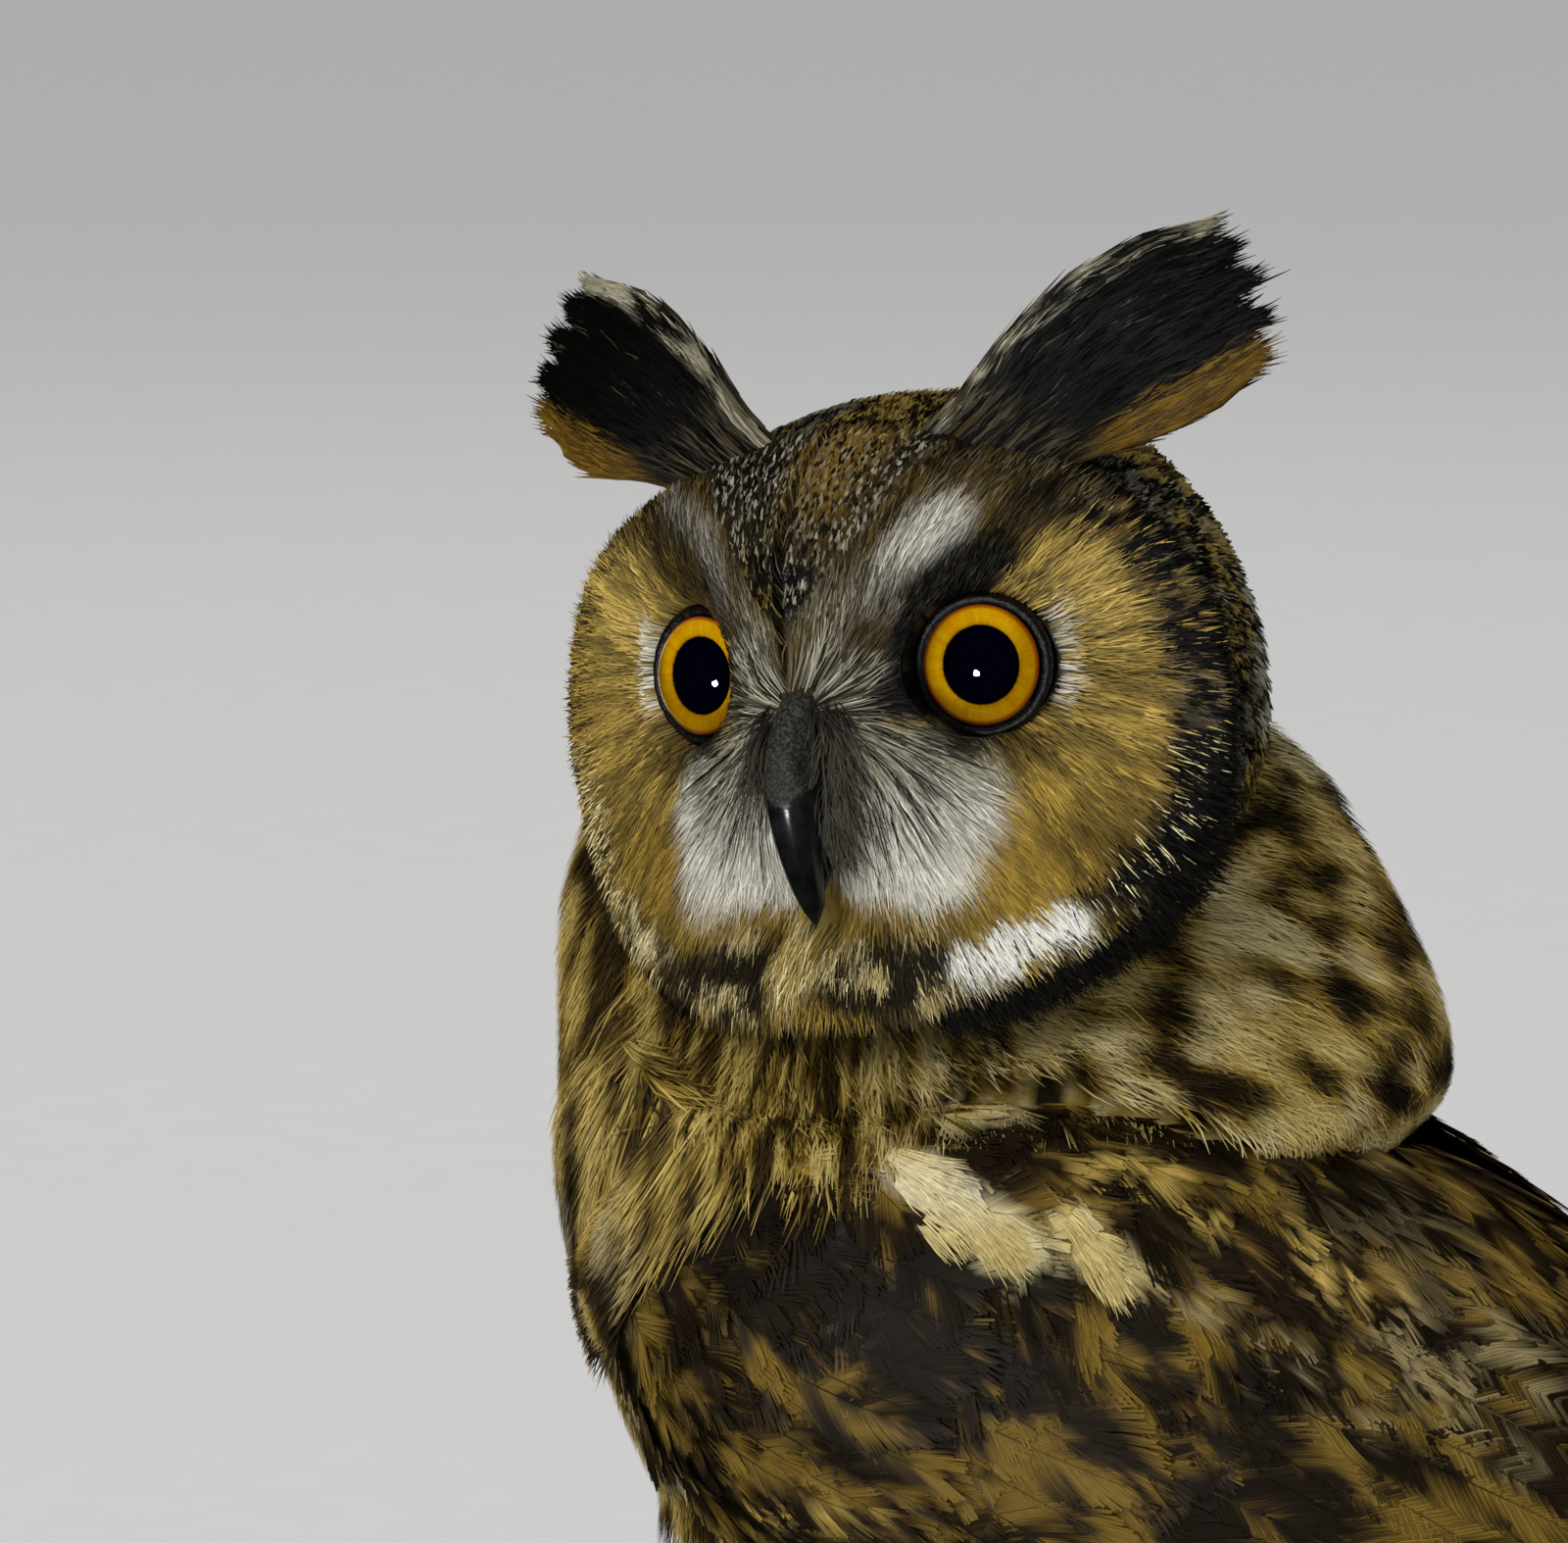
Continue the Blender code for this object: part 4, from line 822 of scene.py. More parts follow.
    # under the chin: dark mottles each side, a pale tuft between, and a white patch near the rim
    mottle = ease(cloud(place, 3.4, 6) + 0.3 * (luck - 0.5), 0.56, 0.7)
    chin = spot(side, up, (11.5, -37.0), (12, 5.4), 0.3)
    colour = blend(colour, blend(hue["dark"], blend(hue["ochre"], hue["cream"], luck), mottle * 0.85), chin * 0.97)
    tuft = spot(left, up, (-2.5, -35.5), (2.5, 6), 0.5)
    colour = blend(colour, blend(hue["ochre"], hue["cream"], ease(luck, 0.3, 0.8)), tuft)
    colour = blend(colour, hue["white"] * 1.25, stroke(left, up, (20.5, -35.6), (29.5, -31.8), 2.7, 0.3) * (grain > 0.1))
    mottled = 0.8 * stroke(left, up, (-20, -36.5), (-32, -30), 2.2, 0.5)
    colour = blend(colour, blend(hue["brown"], hue["cream"], mottle), mottled)
    # each hair darker towards its root, painted shade inside the coat, and lighter or darker at random
    return colour * (0.84 + 0.2 * at.s)[..., None] * (0.7 + 0.7 * grain**1.3)[..., None]


def rimColour(at):  # black, with a few brown tips
    return blend(plumage["black"], plumage["brown"], 0.5 * ease(at.grain, 0.6, 1.0) * at.s)


def fringeColour(at):  # fine black and grey-buff vermiculation behind the rim
    pale = blend(plumage["grey"], plumage["ochre"], ease(cloud(at.place, 6.0, 12), 0.35, 0.65))
    fleck = ease(cloud(at.place, 1.1, 11) + 0.3 * (at.grain - 0.5), 0.5, 0.62)
    return blend(plumage["black"], pale, fleck * 0.6)


def skullColour(at):  # brown-black with grey and ochre flecks; an ochre streak over the crown, buff at the nape
    local = headLocal(at.place)
    base = blend(plumage["black"], plumage["brown"], cloud(at.place, 6.0, 31))
    tip = blend(plumage["greyWhite"], plumage["ochre"], ease(cloud(at.place, 9.0, 32), 0.35, 0.6))
    fleck = ease(cloud(at.place, 1.9, 33) + 0.25 * (at.grain - 0.5), 0.5, 0.64) * ease(at.s, 0.5, 0.7)
    colour = blend(base, tip, fleck * 0.55)
    streak = spot(local[..., 1], local[..., 2], (3, 34), (8, 10), 0.7) * ease(at.grain, 0.3, 0.7)
    colour = blend(colour, plumage["ochreDeep"], streak * 0.9)
    nape = ease(-local[..., 0], 12, 34)
    buff = blend(plumage["ochreDeep"], plumage["ochre"], at.luck)
    return blend(colour, buff, nape * ease(np.abs(at.u), 0.2, 0.45) * 0.85)


def neckColour(at):
    # ochre and cream blotches that follow the lie, on grey-brown with dark streaks
    place, luck, grain = at.place, at.luck, at.grain
    sweep = math.pi / 4 * ease(place[..., 1], -38, 28)
    along = -place[..., 2] * np.cos(sweep) + place[..., 1] * np.sin(sweep)
    across = place[..., 2] * np.sin(sweep) + place[..., 1] * np.cos(sweep)
    side = ease(place[..., 1], -20, 20)
    blot = cloud(point(across / 3.4, along / (6.0 - 1.6 * side), place[..., 0] / 7), 1.0, 21) + 0.03 * side
    blot = blot + 0.15 * (cloud(place, 16.0, 24) - 0.5) + 0.1 * (luck - 0.5) + 0.14 * (grain - 0.5)
    dark = blend(plumage["umber"], plumage["dark"], 0.3 + 0.5 * cloud(place, 5.0, 22) + side * 0.3)
    web = blend(plumage["ochreDeep"], plumage["ochre"], ease(blot, 0.4, 0.6))
    bright = blend(plumage["ochreBright"], plumage["cream"] * 0.8, side * (0.3 + 0.6 * ease(cloud(place, 9.0, 23), 0.4, 0.7)))
    web = blend(web, bright, ease(blot, 0.52, 0.7) * 0.9)
    colour = blend(dark, web, ease(blot, 0.34, 0.5))
    streak = (1 - ease(np.abs(at.u), 0.08, 0.25)) * ease(at.s, 0.35, 0.6) * (luck > 0.6)
    colour = blend(colour, dark, streak * 0.4)
    local = headLocal(place)
    behind = ease(-local[..., 0], 2, 18) * ease(local[..., 2], -26, -4)
    flecked = blend(plumage["black"], bright, ease(cloud(place, 2.2, 25) + 0.25 * (grain - 0.5), 0.52, 0.68))
    colour = blend(colour, flecked * 0.7, behind * 0.85)
    frost = ease(-place[..., 2], -172, -150) * ease(-place[..., 1], 24, 44) * ease(cloud(place, 7.0, 26), 0.4, 0.7)
    hoary = blend(plumage["greyWhite"], plumage["dark"], 1 - ease(blot + 0.15 * (grain - 0.5), 0.36, 0.5))
    colour = blend(colour, hoary, frost * 0.6)
    return colour * (0.88 + 0.24 * grain)[..., None]


def breastColour(at):  # buff with long dark streaks, and thin cross bars lower down
    place = at.place
    local = bodyLocal(place)
    pale = cloud(place, 12.0, 41)
    web = blend(plumage["ochre"], plumage["cream"], ease(at.luck * 0.6 + pale * 0.7, 0.45, 1.1))
    lines = point(place[..., 0] / 3.4, place[..., 1] / 9, place[..., 2] / 17)
    streak = ease(cloud(lines, 1.0, 42) + 0.1 * (at.luck - 0.5), 0.53, 0.64)
    bars = ease(np.sin(at.s * 16 + at.luck * 9), 0.75, 0.95) * ease(local[..., 0], 60, 85) * 0.4
    colour = blend(web, plumage["dark"], (streak + bars) * ease(place[..., 2], 70, 95) * 0.9)
    # browner towards each feather's root: painted shade where the feathers overlap
    colour = blend(colour, plumage["brown"], (1 - ease(at.s, 0.3, 0.6)) * 0.6)
    colour = blend(colour, neckColour(at) * 0.92, ease(place[..., 2], 128, 150))
    return colour * (0.9 + 0.2 * at.grain)[..., None]


def legColour(at):
    # ochre to cream, darker towards each filament's root as painted shade inside the coat
    return blend(plumage["ochre"], plumage["cream"], 0.15 + 0.6 * at.luck) * (0.7 + 0.35 * at.s)[..., None]


def wingColour(at):
    # dark brown with ochre patches combed by single barbs; cream and frosted lines along the scapulars
    place, x, y = at.place, at.p, at.q * 92.0
    luck, grain = at.luck, at.grain
    a, b = 0.9 * x - 0.43 * y, 0.43 * x + 0.9 * y
    base = blend(plumage["dark"], plumage["brown"], 0.8 * cloud(place, 5.0, 51)) * 0.7
    zone = 0.45 + 0.25 * spot(x, y, (62, 22), (26, 14), 0.6) + 0.25 * spot(x, y, (94, 30), (26, 12), 0.6)
    zone = zone + 0.35 * spot(x, y, (132, 52), (18, 9), 0.6) + 0.2 * ease(y, 84, 96) * ease(x, 78, 90)
    zone = zone - 0.5 * spot(x, y, (70, 79), (17, 8), 0.5) - 0.35 * spot(x, y, (46, 52), (12, 12), 0.6)
    zone = zone - 0.4 * spot(x, y, (110, 64), (12, 3), 0.5) - 0.25 * spot(x, y, (60, 44), (22, 14), 0.6)
    blot = 0.62 * cloud(point(a / 8.5, b / 4.0, 0), 1.0, 52) + 0.38 * cloud(point(a / 3.0, b / 1.5, 0), 1.0, 57)
    blot = blot + 0.08 * (luck - 0.5) + 0.27 * (zone - 0.5)
    tone = blend(plumage["umber"] * 0.8, plumage["ochre"] * 0.72, ease(blot + 0.03 * (grain - 0.5), 0.5, 0.7))
    colour = blend(base, tone, ease(blot, 0.46, 0.62) * 0.82)
    # frosted mottles: grey-white and ochre grains in broken rows
    rows = (
        ((86, 60), (117, 55.5), 3.0, "frost"),
        ((119, 63.5), (134, 60), 3.2, "frost"),
        ((104, 71), (122, 66), 4.0, "frost"),
        ((122, 76), (134, 70), 3.2, "frost"),
        ((62, 8), (74, 17), 2.6, "ochreBright"),
        ((74, 73), (108, 71), 4.0, "ochreBright"),
    )
    grains = ease(cloud(point(a / 1.7, b / 1.0, 0), 1.0, 53) + 0.06 * (grain - 0.5), 0.42, 0.6)
    for first, last, half, word in rows:
        colour = blend(colour, plumage[word], stroke(x, y, first, last, half, 0.6) * grains * ease(cloud(place, 4.5, 56), 0.38, 0.52) * 0.85)
    sparse = ease(x, 80, 110) * ease(y, 60, 75) * ease(cloud(place, 8.0, 54), 0.45, 0.65)
    colour = blend(colour, plumage["frost"], grains * sparse * 0.3) * np.array((1.0, 0.92, 0.72))
    cream = stroke(x, y, (53, 69), (71, 57.5), 3.4, 0.3)
    lobes = np.maximum(stroke(x, y, (74, 64), (77, 61), 2.6, 0.4), stroke(x, y, (79, 60.5), (83, 58.5), 2.6, 0.4))
    colour = blend(colour, blend(plumage["cream"], plumage["white"], spot(x, y, (57, 66), (6, 5), 0.6) * 0.6), cream)
    colour = blend(colour, blend(plumage["ochreBright"], plumage["cream"], luck), lobes)
    front = wingFront(y)
    lap = 1 - ease(x + 3 * (cloud(place, 3.0, 55) - 0.5), front - 1.5, front + 1.5)
    colour = blend(colour, neckColour(at), lap)
    return colour * (0.88 + 0.08 * grain)[..., None]


def creamColour(at):  # the pale streak along the scapulars, yellower towards its ends
    pale = spot(at.p, at.q * 92.0, (59, 65), (9, 6), 0.6)
    return blend(plumage["ochreBright"], blend(plumage["cream"], plumage["white"], pale * 0.2), 0.35 + 0.65 * pale) * (0.85 + 0.3 * at.grain)[..., None]


def mantleColour(at):  # the wing's own pattern carried on over the back
    up = wingShare(at.p, at.q)
    return wingColour(SimpleNamespace(place=at.place, p=at.p, q=up, u=at.u, s=at.s, luck=at.luck, grain=at.grain))


def barredColour(count, pale, dark):
    # long feathers: even cross bars that break up towards the edges
    def colour(at):
        phase = np.sin((at.s * count + 0.25 * np.abs(at.u) + 0.15 * at.luck) * 2 * math.pi)
        bar = ease(phase + 0.8 * (cloud(at.place, 2.0, 71) - 0.5), -0.15, 0.35)
        tint = blend(plumage[pale], plumage[dark], bar)
        return blend(tint, plumage["dark"], 0.5 * ease(cloud(at.place, 1.4, 72), 0.5, 0.7))

    return colour


# Skin: every body form as a closed shell inside the coat, melted into one surface.

skin = {"grain": 1.25, "coatDepth": 2.4, "faceDepth": 0.9, "footDepth": 0.5, "socket": 9.0}


def tubeRings(spine, radii, sides, up=(0.0, 0.0, 1.0)):
    # circles square to a line
    run = unit(np.gradient(spine, axis=0))
    across = unit(np.cross(np.broadcast_to(up, run.shape), run))
    square = np.cross(run, across)
    around = (np.arange(sides) * 2 * math.pi / sides)[None, :, None]
    return spine[:, None] + np.asarray(radii)[:, None, None] * (np.cos(around) * across[:, None] + np.sin(around) * square[:, None])


def shrunk(sections, depth):
    # moves each ring's points in along the surface's own normal
    normal = unit(np.cross(np.roll(sections, -1, axis=1) - np.roll(sections, 1, axis=1), np.gradient(sections, axis=0)))
    if ((sections - sections.mean((0, 1))) * normal).sum() < 0:
        normal = -normal
    return sections - np.asarray(depth) * normal


def skinForms():
    circle = np.arange(72)[None, :] * 2 * math.pi / 72
    across = np.concatenate([np.linspace(0.05, 1, 26), 1 + np.linspace(0.04, 0.97, 26)])[:, None]
    depth = np.where(across < 0.95, skin["faceDepth"], skin["coatDepth"])[..., None]
    forms = [shrunk(headSurface(across, circle), depth)]
    forms.append(shrunk(torsoPlace(np.linspace(8, 199, 60)[:, None], circle), skin["coatDepth"]))
    forms.append(shrunk(neckPlace(np.linspace(-100, -4, 40)[:, None], circle), skin["coatDepth"] + 0.6))
    for side in (-1, 1):
        forms.append(legPlace(np.linspace(0, 1, 30)[:, None], circle[:, ::3], side, -1.6))
        heights = np.array((0.0, 0.6, 3.0, 7.0, 12.0, 16.0))
        radii = np.array((5.6, 6.4, 7.2, 7.9, 7.8, 7.5)) - skin["footDepth"]
        forms.append(tubeRings(point(side * (leg["side"] + 1.5), leg["footY"], heights), radii, 24, (0, 1, 0)))
        for _, bearing, reach in toes:
            step = np.linspace(0, 1, 14)
            ring = tubeRings(toeSpine(side, bearing, reach, step)[0], toeRadius(step) - skin["footDepth"], 16)
            ring[..., 2] = np.maximum(ring[..., 2], 0.0)
            forms.append(ring)
    return forms


def skinColour(place):
    # under each coat, the coat's own markings, darkened as painted shade beneath the feathers
    half = np.full(len(place), 0.5)
    local, body = headLocal(place), bodyLocal(place)
    at = SimpleNamespace(place=place, p=local[:, 1], q=local[:, 2], u=half + 0.1, s=half + 0.3, luck=half, grain=half)
    colour = breastColour(at)
    back = blend(plumage["dark"], plumage["brown"], cloud(place, 6.0, 81))
    colour = blend(colour, back, ease(body[:, 2], -4, 8) * insideTorso(place, 1.0))
    colour = blend(colour, neckColour(at), ease(place[:, 2], 150, 160) * ~insideTorso(place, 0.0))
    onFace = (local[:, 0] > faceForward(local[:, 1], local[:, 2]) - 4.0) & (rimShare(local[:, 1], local[:, 2]) < 1.02)
    colour = blend(colour, faceColour(at) * 0.8, onFace & (place[:, 2] > 176))
    skull = ~onFace & insideHead(place, 1.0) & (local[:, 2] > -20)
    colour = blend(colour, plumage["dark"], skull * 0.8)
    colour = blend(colour, legColour(at), 1 - ease(place[:, 2], 60, 75))
    # the 0.7 is painted shade under the coat
    return np.clip(colour * 0.7, 0, 1)


def socketed(place):
    # sinks the skin round each eye to just behind the iris, so that the lids stand on its edge
    plane = math.sqrt(eyes["ball"] ** 2 - eyes["iris"] ** 2)
    for side in (-1, 1):
        axis, middle = eyeAxis(side), eyeMiddle(side)
        apart = place - middle
        far = apart @ axis
        r = np.linalg.norm(apart - far[:, None] * axis, axis=1)
        limit = plane - 1.6 + 9.0 * ease(r, skin["socket"], skin["socket"] + 3.5)
        sunk = np.where((far > 0) & (r < 14), np.minimum(far, limit) - far, 0)
        place = place + sunk[:, None] * axis
    return place


def skinPiece(finish):
    points, quads, used = [], [], 0
    for form in skinForms():
        p, q = rings(form)
        points.append(p)
        quads.append(q + used)
        used += len(p)
    rough = meshObject("skinRough", np.concatenate(points), np.concatenate(quads), finish)
    remesh = rough.modifiers.new("melt", "REMESH")
    remesh.mode, remesh.voxel_size = "VOXEL", skin["grain"] * 0.001
    soften = rough.modifiers.new("soften", "SMOOTH")
    soften.factor, soften.iterations = 0.5, 4
    mesh = bpy.data.meshes.new_from_object(rough.evaluated_get(bpy.context.evaluated_depsgraph_get()))
    bpy.data.objects.remove(rough)
    mesh.name = "skin"
    flat = np.empty(len(mesh.vertices) * 3, np.float32)
    mesh.vertices.foreach_get("co", flat)
    place = socketed((flat.reshape(-1, 3) - packedMove) * 1000)
    place[:, 2] = np.maximum(place[:, 2], 0.0)
    mesh.vertices.foreach_set("co", toMetres(place).astype(np.float32).ravel())
    layer = mesh.color_attributes.new("tint", "FLOAT_COLOR", "POINT")
    full = np.concatenate([skinColour(place), np.ones((len(place), 1))], axis=1)
    layer.data.foreach_set("color", full.astype(np.float32).ravel())
    mesh.shade_smooth()
    mesh.materials.clear()
    mesh.materials.append(finish)
    made = bpy.data.objects.new("skin", mesh)
    bpy.context.scene.collection.objects.link(made)
    settle(made, "torso", "head", "neck", "torso", "leg_left", "leg_right", "foot_left", "foot_right")
    print(f"skin: {len(mesh.polygons) * 2} triangles")


# Head coat.

faceCoat = {"strands": 22500, "length": 6.6, "half": 0.12, "flecks": 2400, "shafts": 90, "bristles": 420, "clear": 9.05}


def parted(points):  # strands bend round the lids instead of crossing the eye
    for side in (-1, 1):
        axis, middle = eyeAxis(side), eyeMiddle(side)
        apart = points - middle
        far = (apart @ axis)[..., None]
        flat = apart - far * axis
        r = np.linalg.norm(flat, axis=-1, keepdims=True)
        points = points + flat / r * np.clip(faceCoat["clear"] - r, 0, None) * (far > 0)
    return points


def faceLie(left, up):
    # filaments run out from the eye over the disc, and from the bill's base over brow, lores and moustache
    side = np.abs(left)
    fromEye = unit(point(side - 15.5, up - 1.5))
    fromBill = unit(point(side - np.minimum(side * 0.6, 5.5), up + 4.0))
    edge = 16.0 + 0.5 * np.clip(-up - 5.0, 0, None) + 0.12 * np.clip(up - 6, 0, None)
    lie = unit(blend(fromBill, fromEye, ease(side, edge - 3, edge + 5)))
    sign = np.where(left < 0, -1.0, 1.0)
    step = 0.05
    return unit(facePlace(left + sign * lie[..., 0] * step, up + lie[..., 1] * step) - facePlace(left, up))


def hairwise(colour):  # each hair takes the colour of one place on it, so that marks have hairy edges
    early = lambda v: v[:, :1] * 0.32 + v[:, -1:] * 0.68 + 0 * v
    return lambda at: colour(SimpleNamespace(place=early(at.place), p=early(at.p), q=early(at.q), s=at.s, luck=at.luck, grain=at.grain))


def faceWanted(left, up):
    ring = np.hypot(np.abs(left) - eyes["side"], up - eyes["up"])
    bill = (np.abs(left) < 2.6) & (up < -1.5) & (up > -30)
    return (rimShare(left, up) < 0.985) * (ring > 8.7) * ~bill * 1.0


def headCoat(finish):
    ground = Ground(facePlace, (0.05, 0.05), lambda here: headMiddle - 20 * headForward)
    for word, side in (("left", 1), ("right", -1)):
        rng = np.random.default_rng(11 + side)
        low, high = ((0.2, -41.5), (45.5, 30.0)) if side > 0 else ((-45.5, -41.5), (-0.2, 30.0))
        p, q = ground.scatter(low, high, faceCoat["strands"], faceWanted)
        s = np.abs(p)
        ring = np.hypot(s - eyes["side"], q - eyes["up"])
        fan = spot(s, q, (13, -19), (11, 10), 0.5)
        length = faceCoat["length"] * (1 + 0.3 * fan) * (0.42 + 0.58 * ease(ring, 9, 15)) * rng.uniform(0.75, 1.2, len(p))
        length = np.minimum(length, (1 - rimShare(p, q)) * 36 + rng.uniform(0.6, 4.6, len(p)))
        half = faceCoat["half"] * rng.uniform(0.7, 1.3, len(p))
        sets = [filaments(ground, p, q, faceLie(p, q), length, half, hairwise(faceColour), rng, (-0.6, 1.0), roll=0.25, curl=0.1, part=parted)]
        # the crown's point: short broad flecks
        wanted = lambda a, b: ease(b - 4 - np.abs(a) / (1.0 if side < 0 else 0.6), -1.0, 2.0) * faceWanted(a, b)
        p, q = ground.scatter((low[0], 3.0), (high[0], 30.0), faceCoat["flecks"], wanted)
        size, half = rng.uniform(1.8, 3.0, len(p)), 0.34 * rng.uniform(0.7, 1.3, len(p))
        sets.append(filaments(ground, p, q, faceLie(p, q), size, half, faceColour, rng, (0.1, 1.2)))
        # fine black shafts across the moustache, and dark bristles that close in on the bill's sides
        wanted = lambda a, b: spot(np.abs(a), b, (8.5, -9), (6, 7), 0.3) * faceWanted(a, b)
        p, q = ground.scatter((low[0], -20), (high[0], -3), faceCoat["shafts"], wanted)
        shaft = lambda at: blend(plumage["black"], plumage["grey"], 0.3 * at.luck * at.s)
        size = rng.uniform(7, 13, len(p))
        sets.append(filaments(ground, p, q, faceLie(p, q), size, np.full(len(p), 0.09), shaft, rng, (0.4, 1.6), stations=6, part=parted))
        reach = -17 if side > 0 else -9
        wanted = lambda a, b: stroke(np.abs(a), b, (3.8, -4), (4.4, reach), 1.5, 0.5)
        p, q = ground.scatter((low[0], -21), (high[0], 1), faceCoat["bristles"] // (1 if side > 0 else 3), wanted)
        gloom = lambda at: blend(plumage["black"], plumage["grey"], 0.1 + 0.5 * ease(at.s, 0.2, 1) * (0.2 + at.luck))
        way = ground.ways(p, q, side * rng.normal(0.3, 0.3, len(p)), -1.0 + 0 * p)
        size, half = rng.uniform(4, 9, len(p)), np.full(len(p), 0.11)
        sets.append(filaments(ground, p, q, way, size, half, gloom, rng, (0.2, 3.0), stations=5, curl=0.1))
        coatPiece(f"face_coat_{word}", sets, low, high, finish, "face")


def ruffCoat(finish):
    # the black rim of the disc, standing over the neck's feathers
    def rimPlace(ring, around):
        left, up = faceOutline(around)
        left, up = left * ring, up * ring + face["middleUp"]
        return headPlace(faceForward(left, up) - 20.0 * np.clip(ring - 1, 0, None), left, up)

    ground = Ground(rimPlace, (0.002, 0.002), lambda here: headMiddle - 20 * headForward)
    rng = np.random.default_rng(29)
    wanted = lambda a, b: 1.0 - 0.97 * stroke(b, 0 * b, (-1.95, 0), (-1.33, 0), 0.06, 0.5)
    p, q = ground.scatter((0.965, -math.pi), (1.04, math.pi), 8000, wanted)
    low = ease(-np.sin(q), 0.1, 0.6)
    size = 2.6 + 2.6 * low + 2.2 * spot(q, 0 * q, (-0.75, 0), (0.5, 1), 0.8)
    size = size * rng.uniform(0.75, 1.15, len(p))
    way = ground.ways(p, q, 1.0 + 0 * p, -0.35 * np.cos(q) * low)
    half = 0.19 * rng.uniform(0.7, 1.2, len(p))
    sets = [filaments(ground, p, q, way, size, half, rimColour, rng, (-0.9, 0.9), stations=4, roll=0.4, curl=0.1)]
    coatPiece("ruff_rim", sets, (0.95, -math.pi), (1.03, math.pi), finish, "face")


def skullCoat(finish):
    ground = Ground(skullPlace, (0.004, 0.004), lambda here: headMiddle - 4 * headForward)
    rng = np.random.default_rng(31)
    quarter = math.pi / 2
    low, high = (-1.62, -1.62), (1.62, 1.62)

    def lieOf(p, q):  # back from the rim towards the nape, and down
        angle = np.hypot(p, q)
        here = skullPlace(p, q)
        back = unit(skullPlace(p * (1 - 0.02 / angle), q * (1 - 0.02 / angle)) - here)
        return back * 0.6 - headUp * 0.5 * ease(headLocal(here)[..., 2], 30, -10)[..., None]

    hidden = lambda a, b: insideNeck(skullPlace(a, b), -1.0)
    wanted = lambda a, b: (np.hypot(a, b) < quarter * 0.99) * ~hidden(a, b) * 1.0
    p, q = ground.scatter(low, high, 1500, wanted)
    size = rng.uniform(7.5, 10.5, len(p))
    sets = [bundles(ground, p, q, lieOf(p, q), size, 3.0 + 0 * size, 9, skullColour, rng, (-1.2, 1.3), thin=0.42)]
    coatPiece("skull_coat", sets, low, high, finish, "face")
    wanted = lambda a, b: ease(np.hypot(a, b), quarter * 0.8, quarter * 0.86) * (np.hypot(a, b) < quarter) * ~hidden(a, b)
    p, q = ground.scatter(low, high, 8000, wanted)
    size, half = rng.uniform(2.6, 4.6, len(p)), 0.2 * rng.uniform(0.7, 1.3, len(p))
    sets = [filaments(ground, p, q, lieOf(p, q), size, half, fringeColour, rng, (-0.6, 1.5), stations=4, roll=0.35)]
    coatPiece("ruff_fringe", sets, low, high, finish, "face")


tufts = {
    "roots": ((15.5, 31.5), (19.0, 30.0), (22.5, 28.8), (26.0, 28.2), (29.0, 27.6)),
    "tips": ((48.1, 53.9), (50.8, 50.4), (52.9, 45.6), (53.7, 40.2), (52.1, 35.0)),
    "drop": 2.5,
    "draw": 5.2,
    "spread": 1.6,
    "strands": 5000,
    "long": 38.0,
}


def tuftPlace(side):
    # a curved fan: s from its root to its tip, w from the high inner edge to the low outer one
    rows = np.arange(5.0)

    def place(s, w):
        i = np.clip(w, 0, 1) * 4
        rootLeft, rootUp = (np.interp(i, rows, [row[k] for row in tufts["roots"]]) for k in (0, 1))
        tipLeft, tipUp = (np.interp(i, rows, [row[k] for row in tufts["tips"]]) for k in (0, 1))
        bulge = np.interp(s, (0, 0.25, 0.5, 0.75, 1), (2.4, 4.2, 4.8, 3.8, 0.6))
        left = rootLeft + (tipLeft - rootLeft) * s + bulge * (w - 0.5) * 0.9
        up = rootUp + (tipUp - rootUp) * s + 1.2 * np.sin(s * math.pi) - bulge * (w - 0.5) * 1.5
        if side < 0:
            left = left + tufts["spread"] * (1 - s) - tufts["draw"] * s
            up = up - tufts["drop"] * s
        forward = 20.0 - i - (9.0 - 1.6 * i) * s + 2.0 * np.sin(s * math.pi)
        return headPlace(forward, side * left, up)

    return place


def tuftColour(front):
    # flecked white along the high edge, black in the middle, ochre along the low edge
    def colour(at):
        s, w = at.p, at.q
        fleck = ease(cloud(at.place, 1.5, 91) + 0.25 * (at.grain - 0.5), 0.48, 0.62)
        pale = blend(plumage["greyWhite"], plumage["frost"] * 0.8, at.luck)
        high = 1 - ease(w + 0.05 * (at.luck - 0.5), 0.04 + 0.03 * s, 0.1 + 0.04 * s)
        shown = blend(plumage["black"] * 0.6, blend(plumage["black"], pale, fleck), high)
        shown = blend(shown, pale, 0.3 * (at.luck > 0.97) * (w < 0.5) * at.s)
        low = ease(w + 0.1 * (at.luck - 0.5), 0.74, 0.84) * ease(s + 0.8 * w, 0.7, 1.0)
        shown = blend(shown, blend(ink(76, 53, 8), ink(128, 96, 14), at.luck), low)
        base = (1 - ease(s, 0.02, 0.2)) * (at.luck > 0.55) * 0.7
        shown = blend(shown, blend(plumage["umber"], plumage["grey"], at.grain * 0.7), base)
        return shown if front else blend(shown, plumage["brown"], 0.6)

    return colour


